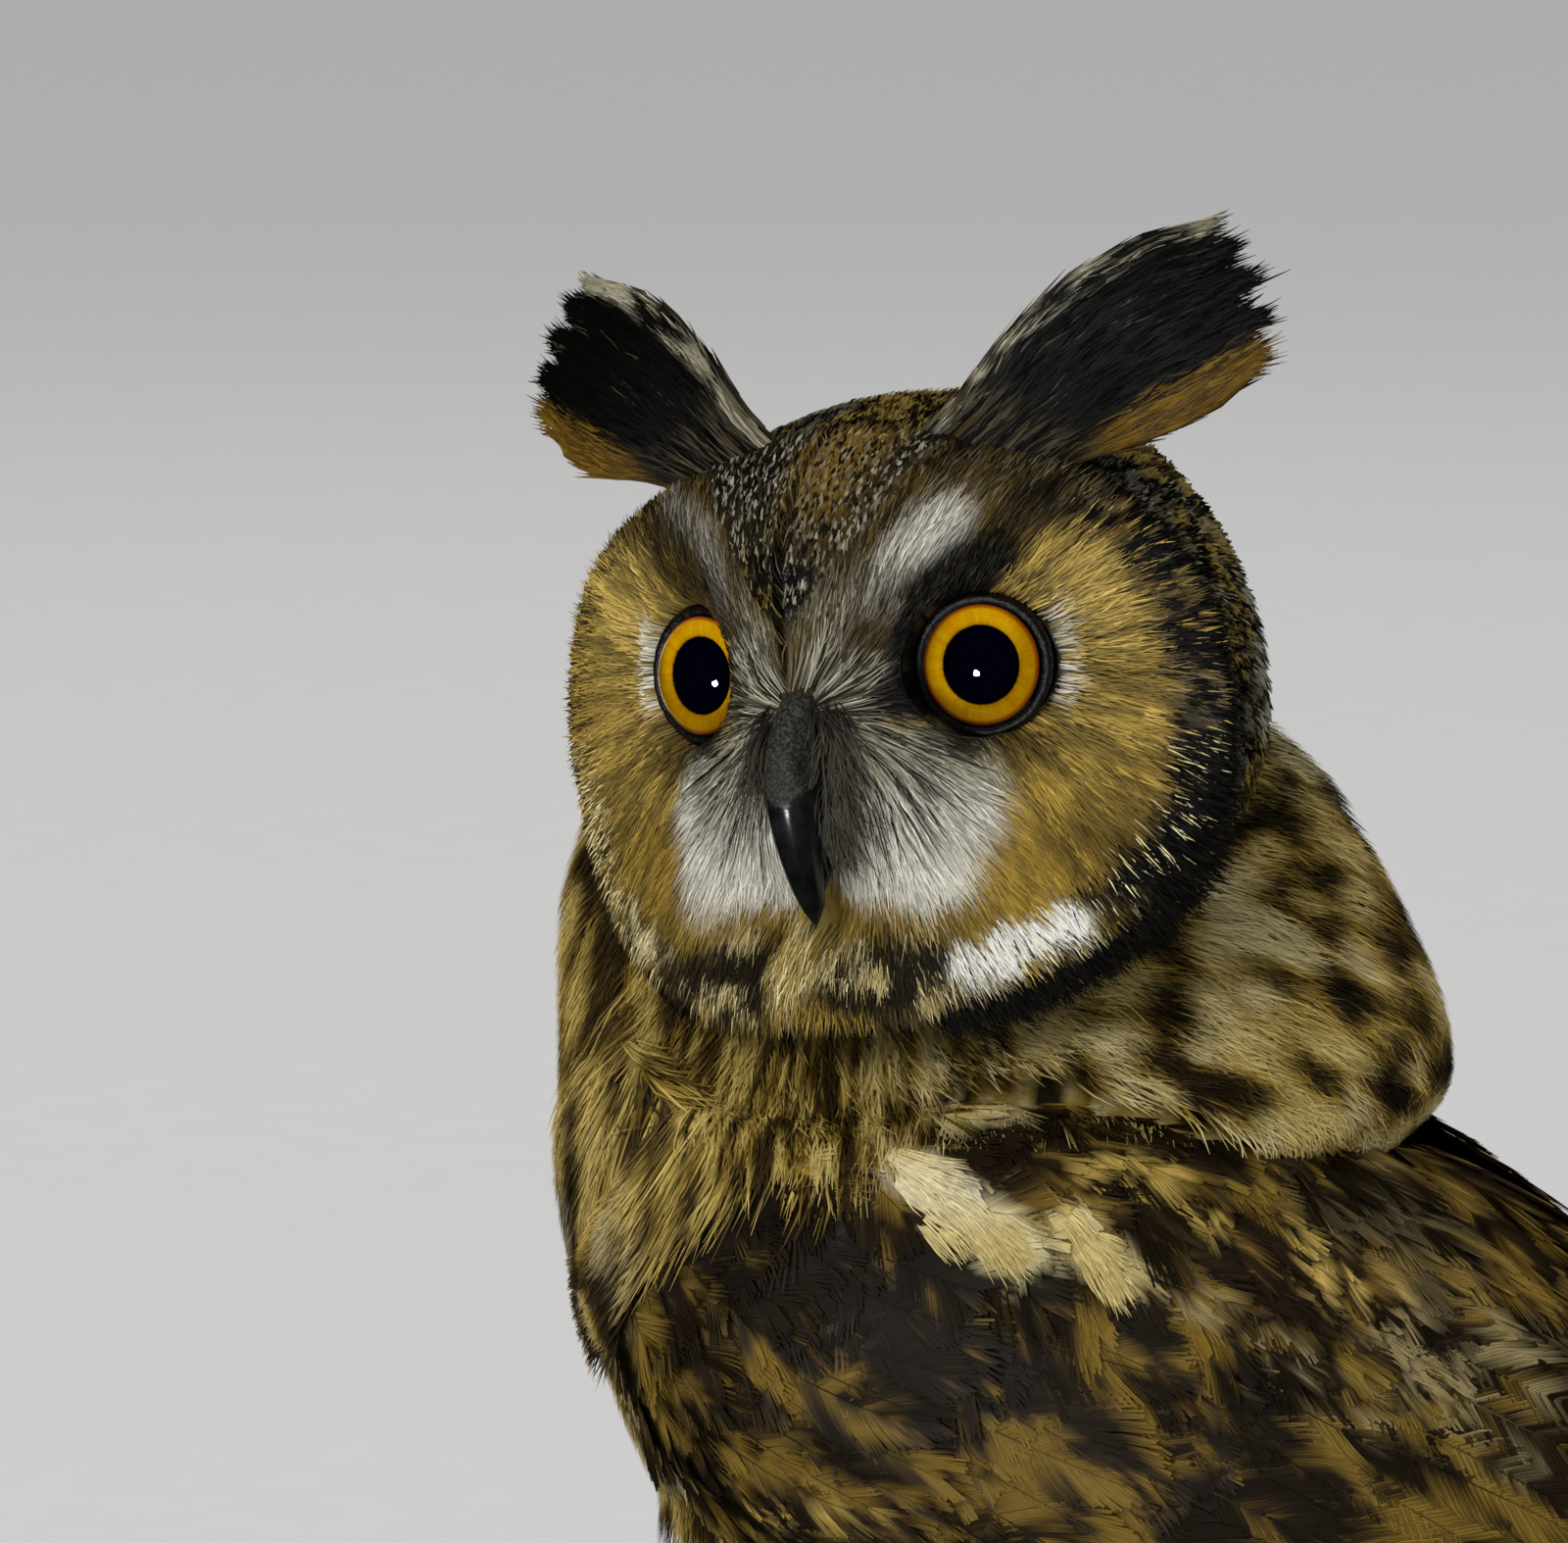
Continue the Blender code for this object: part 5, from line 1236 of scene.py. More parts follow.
def tuftCoat(finish):
    for word, side in (("left", 1), ("right", -1)):
        place = tuftPlace(side)
        ground = Ground(place, (0.01, 0.01), lambda here: here - 3.0 * headForward)
        rng = np.random.default_rng(51 + side)
        sets = []
        for front, height in ((True, (0.4, 1.0)), (False, (-1.4, -1.0))):
            count = tufts["strands"] // (1 if front else 2)
            p, q = ground.scatter((-0.22, -0.04), (0.9, 1.04), count)
            lie = unit(place(p + 0.02, q + 0.004 * rng.normal(size=count)) - place(p - 0.02, q))
            # each of the fan's feathers ends in its own ragged point
            end = 0.8 + 0.17 * np.abs(np.cos(q * math.pi * 4.5)) ** 0.7 + 0.05 * (1 - q) + rng.normal(0, 0.04, count)
            size = np.minimum(rng.uniform(7.0, 12.0, count), (end - p) * tufts["long"])
            keep = size > 1.5
            p, q, lie, size = p[keep], q[keep], lie[keep], size[keep]
            half = 0.22 * rng.uniform(0.6, 1.3, len(p))
            sets.append(filaments(ground, p, q, lie, size, half, tuftColour(front), rng, height, curl=0.05))
        coatPiece(f"ear_tuft_coat_{word}", sets, (-0.22, -0.04), (0.9, 1.04), finish, "tuft", f"ear_tuft_{word}")


# Neck, breast and legs.


def neckLie(place):
    # down the throat, and down and back over the sides into the mantle
    back = ease(place[..., 1], -36, 26)
    return unit(blend(np.array((0.0, 0.03, -1.0)), np.array((0.0, 0.8, -0.62)), back))


def neckCoat(finish):
    ground = Ground(neckPlace, (0.2, 0.004), lambda here: here * np.array((0, 0, 1.0)) + np.array((0.0, 5.0, 0.0)))

    def wanted(a, b):
        place = neckPlace(a, b)
        over = overWing(place + neckLie(place) * 12.0)
        return ~insideHead(place, -5.0) * ~(insideTorso(place, -7.0) & (bodyLocal(place)[..., 0] > 12)) * ~over * 1.0

    for word, start, count in (("left", -math.pi / 2, 1480), ("right", math.pi / 2, 900)):
        rng = np.random.default_rng(61 + count)
        low, high = (-99.0, start), (-6.0, start + math.pi)
        p, q = ground.scatter(low, high, count, wanted)
        size = rng.uniform(14.0, 18.0, count) * (1 - 0.3 * ease(p, -40, -12))
        wide = rng.uniform(4.0, 5.4, count) * (1 - 0.2 * ease(p, -40, -12))
        lie = neckLie(neckPlace(p, q))
        sets = [bundles(ground, p, q, lie, size, wide, 21, neckColour, rng, (-1.7, 0.9), start=0.22, thin=0.18, roll=0.2, curl=0.1)]
        coatPiece(f"neck_coat_{word}", sets, low, high, finish, "neck")


def breastCoat(finish):
    ground = Ground(torsoPlace, (0.2, 0.004), spineOfBody)

    def wanted(a, b):
        place = torsoPlace(a, b)
        over = overWing(place - np.array((0, 0, 13.0))) & (a < 70)
        return ~insideNeck(place, -7.0) * ~insideHead(place, 0) * ~underWing(place) * ~over * 1.0

    for name, low, high in (
        ("breast_coat_left", (9.0, -math.pi / 2), (196.0, 0.6)),
        ("breast_coat_right", (9.0, -math.pi - 0.6), (196.0, -math.pi / 2)),
    ):
        rng = np.random.default_rng(len(name))
        sets = []
        # finer towards the neck
        for first, last, count, strands, thin in ((9.0, 62.0, 300, 30, 0.17), (56.0, 196.0, 400, 12, 0.42)):
            p, q = ground.scatter((first, low[1]), (last, high[1]), count, wanted)
            lie = unit(blend(bodyAlong, np.array((0, 0.0, -1.0)), 1 - ease(p, 60, 120)))
            size = rng.uniform(16.0, 21.0, len(p))
            sets.append(bundles(ground, p, q, lie, size, 5.4 + 0 * size, strands, breastColour, rng, (-1.8, 1.2), start=0.24, thin=thin, roll=0.22, curl=0.1))
        coatPiece(name, sets, low, high, finish, "torso")


def legCoat(finish):
    for word, side in (("left", 1), ("right", -1)):
        rng = np.random.default_rng(81 + side)
        place = lambda a, b: legPlace(a, b, side, -0.8)
        ground = Ground(place, (0.004, 0.01), lambda here: here * np.array((0, 0, 1.0)) + np.array((side * 23.0, 30.0, 0)))
        p, q = ground.scatter((0.0, -math.pi), (1.0, math.pi), 3600, lambda a, b: ~insideTorso(place(a, b), -2.0) * 1.0)
        lie = np.broadcast_to(np.array((0.0, 0.12, -1.0)), (len(p), 3))
        size = rng.uniform(5.5, 8.5, len(p)) * (1 - 0.4 * ease(p, 0.6, 1.0))
        half = 0.32 * rng.uniform(0.8, 1.2, len(p))
        sets = [filaments(ground, p, q, lie, size, half, legColour, rng, (-0.5, 1.0))]
        coatPiece(f"leg_coat_{word}", sets, (0.0, -math.pi), (1.0, math.pi), finish, "leg")
        sets = []
        for _, bearing, reach in toes:
            middle, out = toeSpine(side, bearing, reach, np.array([0.5]))

            def toePlace(s, around, bearing=bearing, reach=reach, out=out):
                spine = toeSpine(side, bearing, reach, np.clip(s, 0, 1.0))[0]
                over, up = np.cross((0, 0, 1.0), out), np.array((0, 0, 1.0))
                r = toeRadius(s) - 0.5
                return spine + (r * np.cos(around))[..., None] * over + (r * np.sin(around))[..., None] * up

            ground = Ground(toePlace, (0.01, 0.02), lambda here, a=middle[0], out=out: a + ((here - a) @ out)[..., None] * out)
            p, q = ground.scatter((0.12, -0.35), (0.93, math.pi + 0.35), 520)
            lie = np.broadcast_to(out + np.array((0, 0, -0.1)), (len(p), 3))
            size, half = rng.uniform(2.0, 3.4, len(p)) * (1 - 0.3 * p), 0.24 * rng.uniform(0.8, 1.2, len(p))
            sets.append(filaments(ground, p, q, lie, size, half, legColour, rng, (-0.1, 0.5)))
        coatPiece(f"foot_coat_{word}", sets, (0.1, -0.4), (0.96, math.pi + 0.4), finish, "foot")


# Wings and mantle.

wing = {"lesser": 400, "upper": 160, "cape": 190, "mantle": 380}


def wingShell(side):
    # the wing's own flesh as one sheet of dark down under the coverts, drawn in at its edges, darkened further as
    # painted shade beneath them
    along, up = np.linspace(27, 177, 60)[:, None], np.linspace(0.0, 1.0, 24)[None, :]
    outer = wingPlace(along, up, 0.3 + armThick(along, up) - 2.2, side)
    tint = blend(plumage["dark"], plumage["brown"], cloud(outer, 5.0, 7)) * 0.6
    web = point(0.002 + 0 * tint[..., 0], along * 0.001 + 0 * tint[..., 0])[None]
    return {"points": outer[None], "tint": tint[None], "home": (np.array([100.0]), np.array([0.5])), "web": web}


def wingCoat(quills, coverts):
    for word, side in (("left", 1), ("right", -1)):
        rng = np.random.default_rng(101 + side)
        low, high = (24.0, -0.1), (300.0, 1.2)
        flat = Ground(lambda along, up: wingPlace(along, up, 0.3, side), (0.2, 0.004), spineOfBody)
        ground = Ground(lambda along, up: wingPlace(along, up, armThick(along, up) - 1.3, side), (0.2, 0.004), spineOfBody)
        # primaries and secondaries, a closed stack to the wing's point
        i = np.arange(9.0)
        root = np.stack([106 + 0 * i, 0.10 + 0.045 * i], axis=1)
        tip = np.stack([298 - 4.6 * i - 0.55 * i * i, 0.30 + 0.052 * i], axis=1)
        rise = (0.4 + 0.4 * i, 0.4 + 0.38 * i)
        shades = barredColour(9, "umber", "dark")
        sets = [wingShell(side), vanes(flat, root, tip, 5.6 + 0 * i, rise, shades, rng, stations=26, columns=5, camber=0.35)]
        share = np.arange(10.0) / 9
        root = np.stack([104 - 12 * share, 0.28 + 0.5 * share], axis=1)
        tip = np.stack([230 - 50 * share, 0.54 + 0.36 * share], axis=1)
        rise = (2.2 + 0.6 * share, 2.6 + 2.4 * share)
        shades = barredColour(6, "umber", "dark")
        sets.append(vanes(flat, root, tip, 6.8 + 0 * share, rise, shades, rng, stations=20, columns=7, camber=0.5))
        coatPiece(f"wing_quills_{word}", sets, low, high, quills, "wing", f"wing_{word}")
        # greater and middle coverts, each row over the one behind it
        sets = []
        for count, first, last, length, half, rise in (
            (13, (110, 0.14), (104, 0.80), 60, 6.8, (1.2, 4.4)),
            (15, (92, 0.04), (78, 0.72), 50, 6.0, (0.4, 2.4)),
            (17, (72, 0.03), (60, 0.70), 42, 5.6, (0.6, 2.6)),
            (18, (54, 0.03), (46, 0.66), 34, 5.2, (0.6, 2.7)),
        ):
            share = np.linspace(0, 1, count)
            p = first[0] + (last[0] - first[0]) * share + rng.normal(0, 1.4, count)
            q = first[1] + (last[1] - first[1]) * share + rng.normal(0, 0.006, count)
            long, wide = length * rng.uniform(0.92, 1.05, count), half * rng.uniform(0.9, 1.1, count)
            way = ground.ways(p, q, 1.0 + 0 * p, -0.12 + 0.16 * q)
            sets += plumes(ground, p, q, way, long, wide, 54, wingColour, rng, rise, tilt=0.03 * side)
        # lesser coverts, scapulars over the upper edge, and the neck's feathers lapping over the shoulder
        p, q = ground.scatter((32.0, 0.0), (96.0, 0.8), wing["lesser"])
        long, wide = rng.uniform(13, 18, len(p)) * (0.7 + 0.3 * ease(p, 32, 60)), rng.uniform(3.8, 5.2, len(p))
        way = ground.ways(p, q, 1.0 + 0 * p, rng.normal(-0.28, 0.1, len(p)))
        sets += plumes(ground, p, q, way, long, wide, 22, wingColour, rng, (-0.8, 1.6))
        p, q = ground.scatter((40.0, 0.68), (128.0, 1.12), wing["upper"])
        long, wide = rng.uniform(20, 27, len(p)), rng.uniform(4.8, 6.4, len(p))
        way = ground.ways(p, q, 1.0 + 0 * p, rng.normal(-0.38, 0.07, len(p)))
        sets += plumes(ground, p, q, way, long, wide, 32, wingColour, rng, (0.2, 2.6))
        p, q = ground.scatter((26.0, -0.05), (76.0, 1.1), wing["cape"], lambda a, b: (a + 4 < wingFront(b * 92 - 11)) * 1.0)
        way = ground.ways(p, q, 0.1 + 0.5 * ease(q, 0.5, 0.9), -1.0 + 0 * p)
        long, wide = rng.uniform(12, 16, len(p)), rng.uniform(3.6, 4.8, len(p))
        sets.append(bundles(ground, p, q, way, long, wide, 20, neckColour, rng, (-0.4, 2.4), start=0.25, thin=0.2, roll=0.22))
        for first, last, count, size in (((49.5, 70), (65, 61), 22, 9.0), ((72, 64.5), (79, 60), 9, 6.5)):
            t = rng.random(count)
            p = first[0] + (last[0] - first[0]) * t + rng.normal(0, 0.7, count)
            q = (first[1] + (last[1] - first[1]) * t + rng.normal(0, 1.3, count)) / 92.0
            way = unit(wingPlace(p + 1.8, q - 1.15 / 92, 4.0, side) - wingPlace(p, q, 4.0, side))
            sets.append(bundles(ground, p, q, way, np.full(count, size), np.full(count, 1.8), 26, creamColour, rng, (2.0, 3.0), start=0.15, thin=0.13, roll=0.15))
        coatPiece(f"wing_coverts_{word}", sets, low, high, coverts, "wing")


def mantleCoat(finish):
    ground = Ground(torsoPlace, (0.2, 0.004), spineOfBody)
    rng = np.random.default_rng(121)
    low, high = (28.0, 0.5), (196.0, math.pi - 0.5)
    p, q = ground.scatter(low, high, wing["mantle"], lambda a, b: ~insideNeck(torsoPlace(a, b), -2.0) * 1.0)
    lie = ground.ways(p, q, 1.0 + 0 * p, rng.normal(0, 0.08, len(p)))
    long, wide = rng.uniform(20, 27, len(p)), rng.uniform(5.2, 6.8, len(p))
    sets = plumes(ground, p, q, lie, long, wide, 26, mantleColour, rng, (-1.5, 1.9))
    coatPiece("mantle_coat", sets, low, high, finish, "torso")


tail = {"root": 160.0, "length": 142.0, "pairs": 6, "half": 9.0}


def tailCoat(quills, coverts):
    # twelve quills in a shallow fan, the middle pair on top
    rng = np.random.default_rng(131)
    step, share = np.linspace(0, 1, 24), np.linspace(-1, 1, 7)
    sets = []
    for side in (-1, 1):
        for i in range(tail["pairs"]):
            reach = tail["length"] - 0.8 * i * i
            along = tail["root"] + 24 + (reach - 24) * step
            lateral = side * (2.0 + 1.2 * i + (reach - 24) * step * math.sin(math.radians(0.9 + 2.1 * i)))
            depth = -1.2 - 1.44 * i - (0.72 if side < 0 else 0.0) - 2.5 * step**2
            form = tail["half"] * np.interp(step, (0, 0.15, 0.7, 0.9, 0.97, 1), (0.5, 0.8, 1.0, 0.85, 0.6, 0.25))
            x = form[:, None] * share * (1 + rng.normal(0, 0.02, (24, 7)) * (np.abs(share) > 0.9))
            points = bodyPlace(along[:, None] - 2.5 * share**2, lateral[:, None] + x, depth[:, None] - 0.4 * share**2)
            luck = np.full(x.shape, rng.random())
            at = SimpleNamespace(place=points, u=share + 0 * x, s=step[:, None] + 0 * x, luck=luck, grain=luck)
            tint = blend(barredColour(7, "ochreDeep", "dark")(at), plumage["grey"], 0.2 * (i < 1) + 0 * x)
            home = (np.array([200.0]), np.array([side * (i + 1) / 7.0]))
            web = point(x * 0.001, (along[:, None] + 7 * i) * 0.001 + 0 * x)
            sets.append({"points": points[None], "tint": tint[None], "home": home, "web": web[None]})
    coatPiece("tail_quills", sets, (150.0, -1.2), (310.0, 1.2), quills, "tail", "tail")

    def bed(along, around):  # the tail's fleshy root, over which its coverts lie
        wide, tall = (np.interp(along, (150, 185, 230), row) for row in ((30, 19, 14), (22, 10, 2.0)))
        return bodyPlace(along, wide * np.cos(around), -3.0 + tall * np.sin(around))

    ground = Ground(bed, (0.2, 0.01), lambda here: spineOfBody(here) - 3 * bodyDorsal)
    sets = []
    for a, b, colour in ((0.15, math.pi - 0.15, mantleColour), (math.pi + 0.15, 2 * math.pi - 0.15, breastColour)):
        p, q = ground.scatter((158.0, a), (196.0, b), 70)
        lie = ground.ways(p, q, 1.0 + 0 * p, rng.normal(0, 0.05, len(p)))
        long, wide = rng.uniform(22, 32, len(p)), rng.uniform(4.6, 6.0, len(p))
        sets += plumes(ground, p, q, lie, long, wide, 24, colour, rng, (-0.5, 1.2))
    coatPiece("tail_coverts", sets, (150.0, 0.0), (200.0, 6.5), coverts, "tail")


# Eyes, lids, bill and claws.


def turned(middle, axis, profile, sides):
    # a profile of distance along an axis and radius, carried round it
    first = unit(np.cross(axis, (0.3, 0.2, 0.9)))
    second = np.cross(axis, first)
    around = np.arange(sides) * 2 * math.pi / sides
    spoke = np.cos(around)[:, None] * first + np.sin(around)[:, None] * second
    profile = np.asarray(profile, float)
    return middle + profile[:, None, :1] * axis + profile[:, None, 1:] * spoke[None]


def irisFinish():
    # fine spokes of yellow and orange, redder at the outer rim, round a blue-black pupil
    board = Board("eye_iris", 0.5, Specular_IOR_Level=0.0)
    x, y, radius = board.split(board.attribute("ray", "Vector"))
    streaks = board.noise(board.add("ShaderNodeCombineXYZ", {}, {0: x * 11, 1: y * 11, 2: radius * 0.25}), 1.0, 4.0, 0.65)
    blots = board.noise(board.add("ShaderNodeCombineXYZ", {}, {0: x * radius, 1: y * radius, 2: 3.0}), 0.9, 2.0)
    yellow, orange, red, brown, pupil = (
        (*ink(*c), 1.0) for c in ((255, 206, 12), (246, 176, 5), (172, 82, 4), (100, 54, 4), (2, 3, 14))
    )
    colour = board.mix(streaks.eased(0.35, 0.65), orange, yellow)
    colour = board.mix(blots.eased(0.45, 0.75) * 0.4, colour, orange)
    colour = board.mix((radius + streaks * 0.4).eased(7.0, 7.55), colour, red)
    colour = board.mix(radius.eased(7.45, 8.0), colour, pupil)
    colour = board.mix(1 - (radius + streaks * 0.25).eased(5.0, 5.22), colour, brown)
    colour = board.mix(1 - radius.eased(4.86, 4.98), colour, pupil)
    board.bump(streaks, 0.4, 0.00015)
    return board.colour(colour)


def corneaFinish():
    # clear, and bright only where it mirrors a light
    board = Board("eye_cornea", 0.02, Metallic=1.0)
    board.shader.inputs["Base Color"].default_value = (1, 1, 1, 1)
    board.join(board.shader.inputs["Alpha"], board.add("ShaderNodeFresnel", {}, {"IOR": 1.34}) * 2.2)
    return board.material


def lidFinish():
    board = Board("eye_lids", 0.42, Specular_IOR_Level=0.35)
    grain = board.noise(board.coordinates(), 2600.0, 3.0)
    board.bump(grain, 0.6, 0.0003)
    return board.colour(board.mix(grain.eased(0.35, 0.7), (*ink(8, 6, 5), 1.0), (*ink(28, 20, 15), 1.0)))


def hornFinish():
    # glossy blue-black horn, and over the bill's root a rough dark cere with pale grains
    board = Board("bill_and_claws", 0.3, Specular_IOR_Level=0.5)
    cere = board.attribute("tint", "Fac")
    spots = board.noise(board.coordinates(), 2300.0, 4.0, 0.65)
    flow = board.noise(board.coordinates(), 300.0, 3.0)
    horn = board.mix(flow.eased(0.35, 0.75), (*ink(13, 14, 15), 1.0), (*ink(32, 34, 34), 1.0))
    rough = board.mix(spots.eased(0.42, 0.72), (*ink(30, 29, 25), 1.0), (*ink(84, 81, 70), 1.0))
    board.join(board.shader.inputs["Roughness"], cere * 0.42 + spots * 0.1 + 0.15)
    board.bump(spots * (cere * 0.8 + 0.05), 0.6, 0.0005)
    return board.colour(board.mix(cere, horn, rough))


def eyePieces():
    iris, cornea, lids = irisFinish(), corneaFinish(), lidFinish()
    sides = 72
    around = np.arange(sides) * 2 * math.pi / sides
    plane = math.sqrt(eyes["ball"] ** 2 - eyes["iris"] ** 2)
    for word, side in (("left", 1), ("right", -1)):
        axis, middle = eyeAxis(side), eyeMiddle(side)
        radius = np.array((0.05, 1.5, 3.0, 4.2, 4.8, 4.9, 4.96, 5.4, 6.0, 6.6, 7.1, 7.4))
        depth = plane - np.interp(radius, (0, 4.8, 4.9, 5.1, 6.4, 7.4), (0.3, 0.3, 0.15, -0.25, -0.12, 0.0))
        angle = np.linspace(math.asin(eyes["iris"] / eyes["ball"]) + 0.05, 1.72, 9)
        ball = np.stack([eyes["ball"] * np.cos(angle), eyes["ball"] * np.sin(angle)], axis=1)
        profile = np.concatenate([np.stack([depth, radius], axis=1), ball, [(-7.4, 6.0)]])
        points, quads = rings(turned(middle, axis, profile, sides))
        made = settle(meshObject(f"eye_ball_{word}", points, quads, iris), "eye", f"eye_{word}")
        size = np.concatenate([radius, np.full(len(profile) - len(radius), 9.0)])
        ray = np.zeros((len(points), 3), np.float32)
        ray[: size.size * sides] = point(np.cos(around), np.sin(around), size[:, None]).reshape(-1, 3)
        ray[-1, 2] = 9.0
        made.data.attributes.new("ray", "FLOAT_VECTOR", "POINT").data.foreach_set("vector", ray.ravel())
        angle = np.linspace(0.02, math.asin(eyes["iris"] / eyes["ball"]) + 0.12, 18)
        dome = np.stack([eyes["ball"] * np.cos(angle) + 0.02, eyes["ball"] * np.sin(angle)], axis=1)
        points, quads = rings(turned(middle, axis, dome, sides))
        settle(meshObject(f"eye_cornea_{word}", points, quads[:-sides], cornea), "eye")
        lidPiece(word, side, lids)


def lidPiece(word, side, finish):
    # both lids as one rounded rim, thicker above, with fine folds round it
    axis, middle = eyeAxis(side), eyeMiddle(side)
    first = unit(headUp - (headUp @ axis) * axis)
    second = np.cross(axis, first)
    around = (np.arange(96) * 2 * math.pi / 96)[:, None]
    section = np.linspace(0, 2 * math.pi, 15)[None, :-1]
    upper = 0.5 + 0.5 * np.cos(around)
    plane = math.sqrt(eyes["ball"] ** 2 - eyes["lid"] ** 2) + 0.75
    tube = 0.55 + 0.28 * upper + 0.04 * np.sin(around * 23)
    radius = eyes["lid"] - 0.2 - 0.15 * upper + tube * np.sin(section)
    depth = plane + 1.1 * tube * np.cos(section)
    spoke = np.cos(around)[..., None] * first + np.sin(around)[..., None] * second
    points = middle + depth[..., None] * axis + radius[..., None] * spoke
    index = np.arange(96 * 14).reshape(96, 14)
    nextOne = np.roll(index, -1, axis=1)
    quads = point(index, np.roll(index, -1, axis=0), np.roll(nextOne, -1, axis=0), nextOne).reshape(-1, 4).astype(int)
    flat = points.reshape(-1, 3)
    outward = np.cross(flat[quads[:, 1]] - flat[quads[:, 0]], flat[quads[:, 3]] - flat[quads[:, 0]])
    core = (middle + plane * axis + (eyes["lid"] - 0.2) * spoke)[:, 0][quads[:, 0] // 14]
    if ((flat[quads[:, 0]] - core) * outward).sum() < 0:
        quads = quads[:, ::-1]
    settle(meshObject(f"eye_lids_{word}", flat, quads, finish), "face")


bill = {
    "forward": (37.0, 41.5, 44.6, 44.6, 43.2, 41.0, 38.6),
    "up": (1.0, -4.0, -10.0, -16.0, -21.5, -26.5, -30.5),
    "half": (2.4, 2.9, 3.4, 3.2, 2.7, 2.0, 1.0),
    "deep": (7.0, 8.4, 9.4, 8.4, 6.4, 4.0, 2.0),
    "swing": 1.2,
}


def billPieces(finish):
    # sections square to the culmen: a rounded ridge, flat sides, and a back that narrows into the hook
    at = np.arange(7.0)
    where = np.linspace(0, 6, 60)
    forward, up, half, deep = (smoothThrough(at, bill[word], where) for word in ("forward", "up", "half", "deep"))
    close = np.sqrt(np.clip((6.0 - where) / 0.45, 0.02, 1))
    half, deep = half * close, deep * close
    run = unit(np.gradient(np.stack([forward, up], axis=1), axis=0))
    inward = np.stack([run[:, 1], -run[:, 0]], axis=1)
    around = (np.arange(48) * 2 * math.pi / 48)[None, :]
    depth = deep[:, None] * (0.5 - 0.5 * np.cos(around))
    width = half[:, None] * np.sign(np.sin(around)) * np.abs(np.sin(around)) ** 0.8
    # nostrils: a dimple in each side of the cere
    dent = np.exp(-(((where[:, None] - 1.95) / 0.28) ** 2) - ((depth / deep[:, None] - 0.28) / 0.13) ** 2)
    width = width * (1 - 0.4 * dent) + bill["swing"] * (where[:, None] / 6) ** 2
    sections = headPlace(forward[:, None] + inward[:, :1] * depth, width, up[:, None] + inward[:, 1:] * depth)
    points, quads = rings(sections)
    edge = 2.35 + 0.5 * np.cos(around)
    cere = 1 - ease(where[:, None], edge - 0.15, edge + 0.15)
    tint = np.concatenate([cere.ravel(), [1.0, 0.0]])[:, None] * np.ones(3)
    settle(meshObject("bill_hook", points, quads, finish, tint), "bill", "bill_upper")
    share = np.linspace(0, 1, 24)[:, None]
    around = (np.arange(32) * 2 * math.pi / 32)[None, :]
    half, tall = 3.2 * (1 - 0.72 * share**2), 2.4 * (1 - 0.62 * share)
    forward = 29.5 + 7.4 * share + tall * np.cos(around) * 0.87
    sections = headPlace(forward, half * np.sin(around) + 0.8 * share, -13.0 - 13.0 * share + tall * np.cos(around) * 0.5)
    points, quads = rings(sections)
    settle(meshObject("bill_below", points, quads, finish, np.zeros((len(points), 3))), "bill", "bill_lower")


def clawPieces(finish):
    # each talon starts square to its toe, arches over and ends in a point just above the floor
    for word, side in (("left", 1), ("right", -1)):
        for toe, bearing, reach in toes:
            spine, out = toeSpine(side, bearing, reach, np.linspace(0, 1, 6))
            run = unit(spine[-1] - spine[-2])
            angle = np.linspace(0.35, 1.5, 16)
            bend = leg["claw"] / 1.25
            forward = bend * (np.sin(angle) - math.sin(0.35))
            drop = bend * (np.cos(angle) - math.cos(0.35)) * 0.42 + 1.8 * (np.sin(angle * 2 - 0.5) - math.sin(0.2))
            arch = spine[-1] + 1.2 * run + np.outer(forward, out) + np.outer(drop, (0.0, 0.0, 1.0))
            line = np.concatenate([[spine[-1] - 0.4 * run], arch])
            line[:, 2] = np.maximum(line[:, 2], 0.75)
            radii = np.interp(np.linspace(0, 6, 17), np.arange(7.0), (2.1, 2.1, 1.95, 1.65, 1.25, 0.85, 0.25))
            points, quads = rings(tubeRings(line, radii, 20))
            made = meshObject(f"talon_{toe}_{word}", points, quads, finish, np.zeros((len(points), 3)))
            settle(made, "claw", f"claw_{toe}_{word}")


# Room, lights and camera.

room = {"floor": (226, 224, 221), "wall": (228, 230, 233), "wallStrength": 0.74, "azimuth": 102.0, "elevation": 8.0}


def studio():
    board = Board("floor_pale", 0.9, Specular_IOR_Level=0.1)
    grain = board.noise(board.coordinates(), 60.0, 2.0)
    tone = ink(*room["floor"])
    board.colour(board.mix(grain.eased(0.3, 0.7) * 0.2, (*tone, 1.0), (*(tone * 0.94), 1.0)))
    mesh = bpy.data.meshes.new("floor")
    mesh.from_pydata([(-60, -60, 0), (60, -60, 0), (60, 60, 0), (-60, 60, 0)], [], [(0, 1, 2, 3)])
    mesh.materials.append(board.material)
    floor = bpy.data.objects.new("floor", mesh)
    bpy.context.scene.collection.objects.link(floor)
    floor.visible_glossy = False
    world = bpy.data.worlds.new("room")
    bpy.context.scene.world = world
    world.use_nodes = True
    back = world.node_tree.nodes["Background"]
    back.inputs["Color"].default_value = (*ink(*room["wall"]), 1.0)
    back.inputs["Strength"].default_value = room["wallStrength"]
    world.cycles_visibility.glossy = False
    bpy.context.scene.view_settings.view_transform = "Standard"


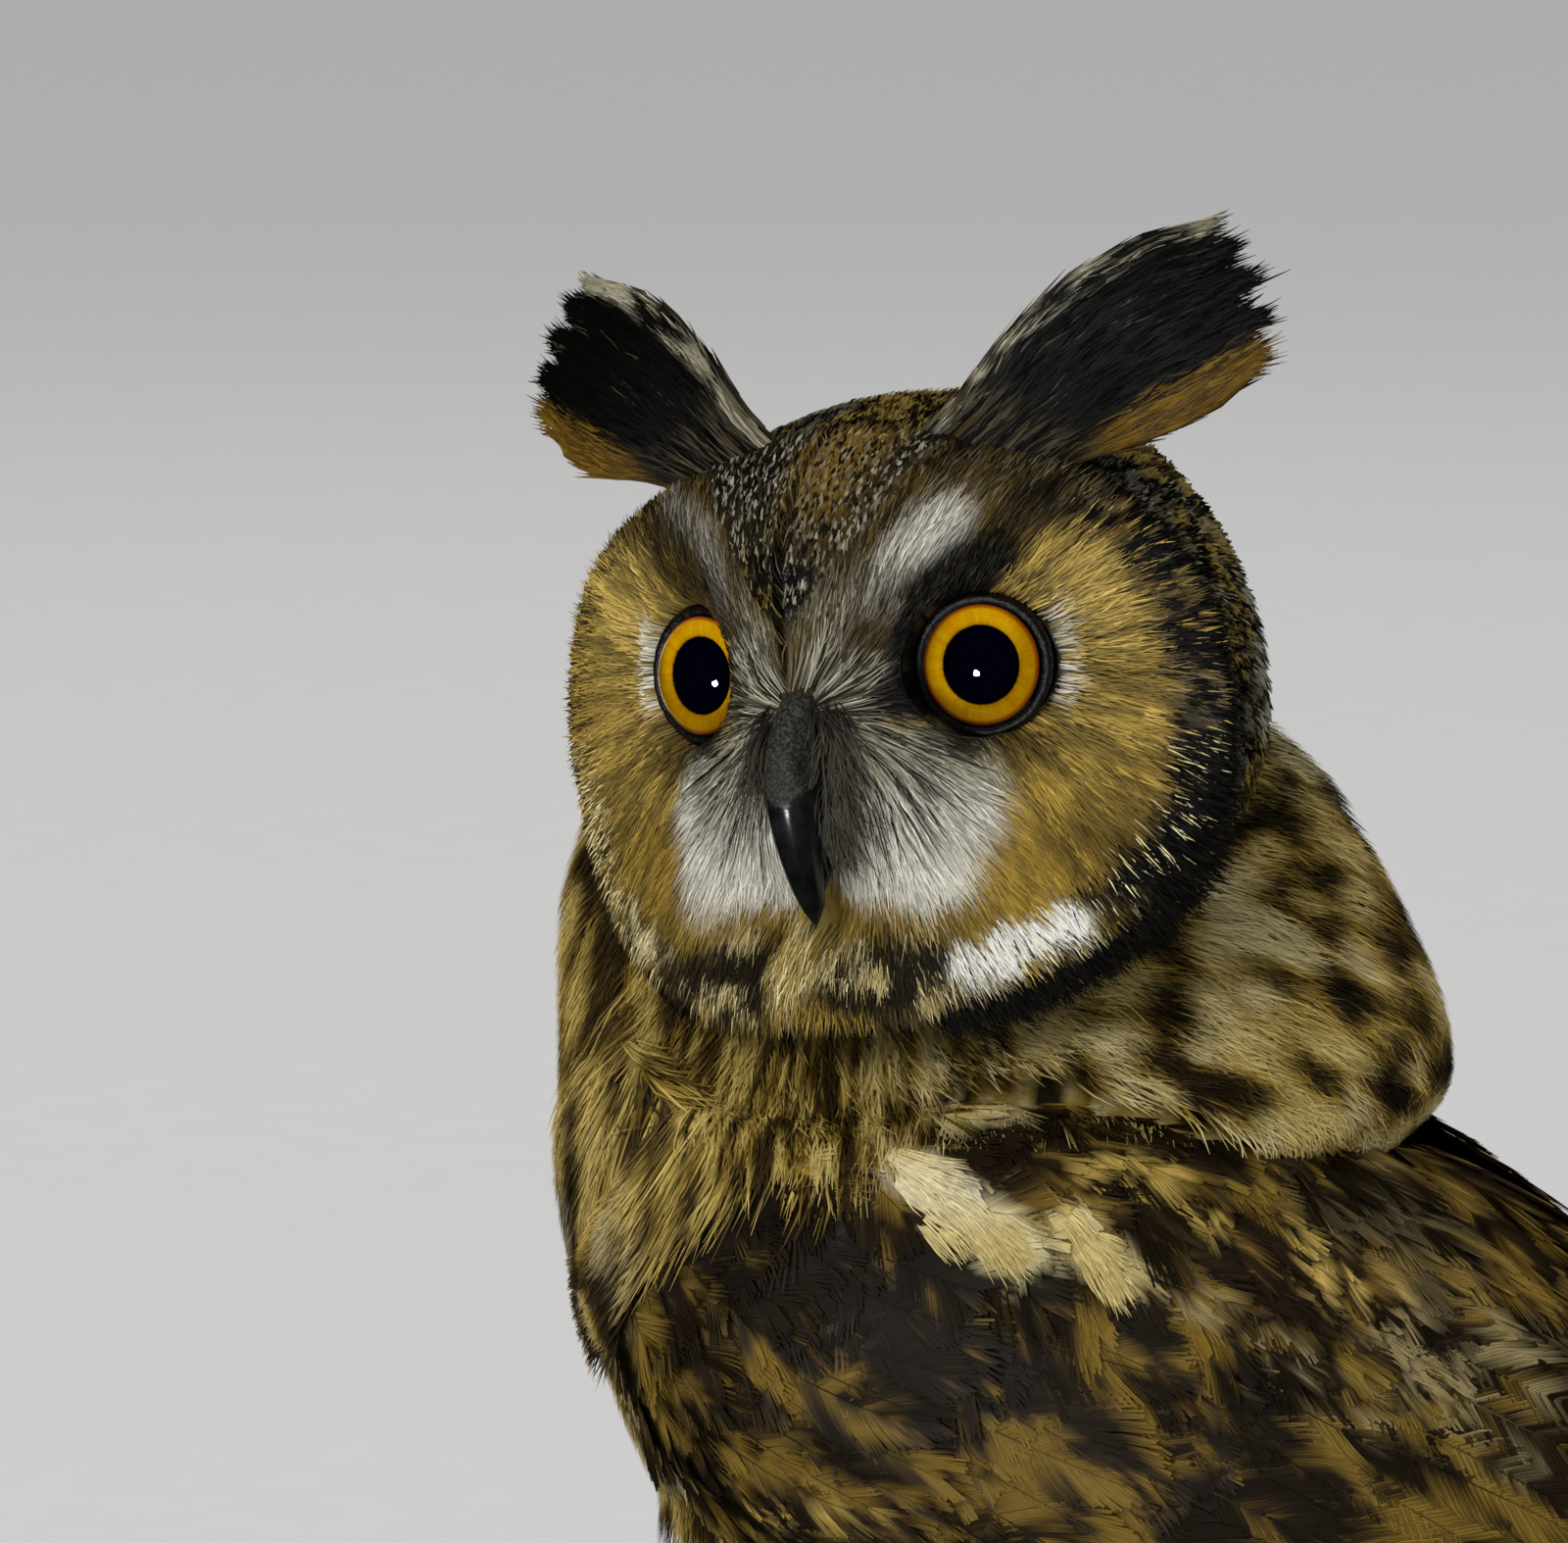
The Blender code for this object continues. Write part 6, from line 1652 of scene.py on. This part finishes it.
def lamp(name, place, aim, size, power):
    data = bpy.data.lights.new(name, "AREA")
    data.shape, data.size, data.energy = "DISK", size, power
    made = bpy.data.objects.new(name, data)
    made.location = place
    made.rotation_euler = (Vector(aim) - Vector(place)).to_track_quat("-Z", "Y").to_euler()
    bpy.context.scene.collection.objects.link(made)
    return made


def bearingOf(azimuth, elevation):
    a, e = math.radians(azimuth), math.radians(elevation)
    return np.array((math.sin(a) * math.cos(e), -math.cos(a) * math.cos(e), math.sin(e)))


def cameraAndLights():
    a = math.radians(room["azimuth"])
    toward = bearingOf(room["azimuth"], room["elevation"])
    right = np.array((math.cos(a), math.sin(a), 0.0))
    up = np.cross(toward, right)
    # 8 pixels of the 1600-wide picture to a millimetre at the head; its middle falls at pixel (968, 690)
    head = toMetres(np.array((0.0, 0.0, 222.0)))
    aim = head + (right * (800 - 968) + up * (690 - 787)) / 8000
    data = bpy.data.cameras.new("camera")
    data.lens, data.sensor_width, data.clip_start = 198.0, 36.0, 0.01
    camera = bpy.data.objects.new("camera", data)
    camera.location = aim + toward * 1.1
    camera.rotation_euler = (-Vector(toward)).to_track_quat("-Z", "Y").to_euler()
    bpy.context.scene.collection.objects.link(camera)
    bpy.context.scene.camera = camera
    lamp("catchlight", head + bearingOf(75, -8) * 0.9, head, 0.15, 4.6).visible_diffuse = False  # only mirrored
    for name, azimuth, elevation, far, size, power in (
        ("soft_left", 60, 30, 2.4, 1.0, 20.0),
        ("soft_right", 160, 30, 2.6, 1.6, 7.0),
        ("soft_back", 285, 45, 2.6, 1.6, 8.0),
    ):
        lamp(name, head + bearingOf(azimuth, elevation) * far, head, size, power).visible_glossy = False


strand, barb, web = strandFinish(), barbFinish(), webFinish()
skinPiece(skinFinish())
headCoat(strand)
ruffCoat(strand)
skullCoat(strand)
tuftCoat(strand)
neckCoat(strand)
breastCoat(strand)
legCoat(strand)
wingCoat(web, barb)
mantleCoat(barb)
tailCoat(web, barb)
eyePieces()
horn = hornFinish()
billPieces(horn)
clawPieces(horn)
print("pieces made")
studio()
cameraAndLights()
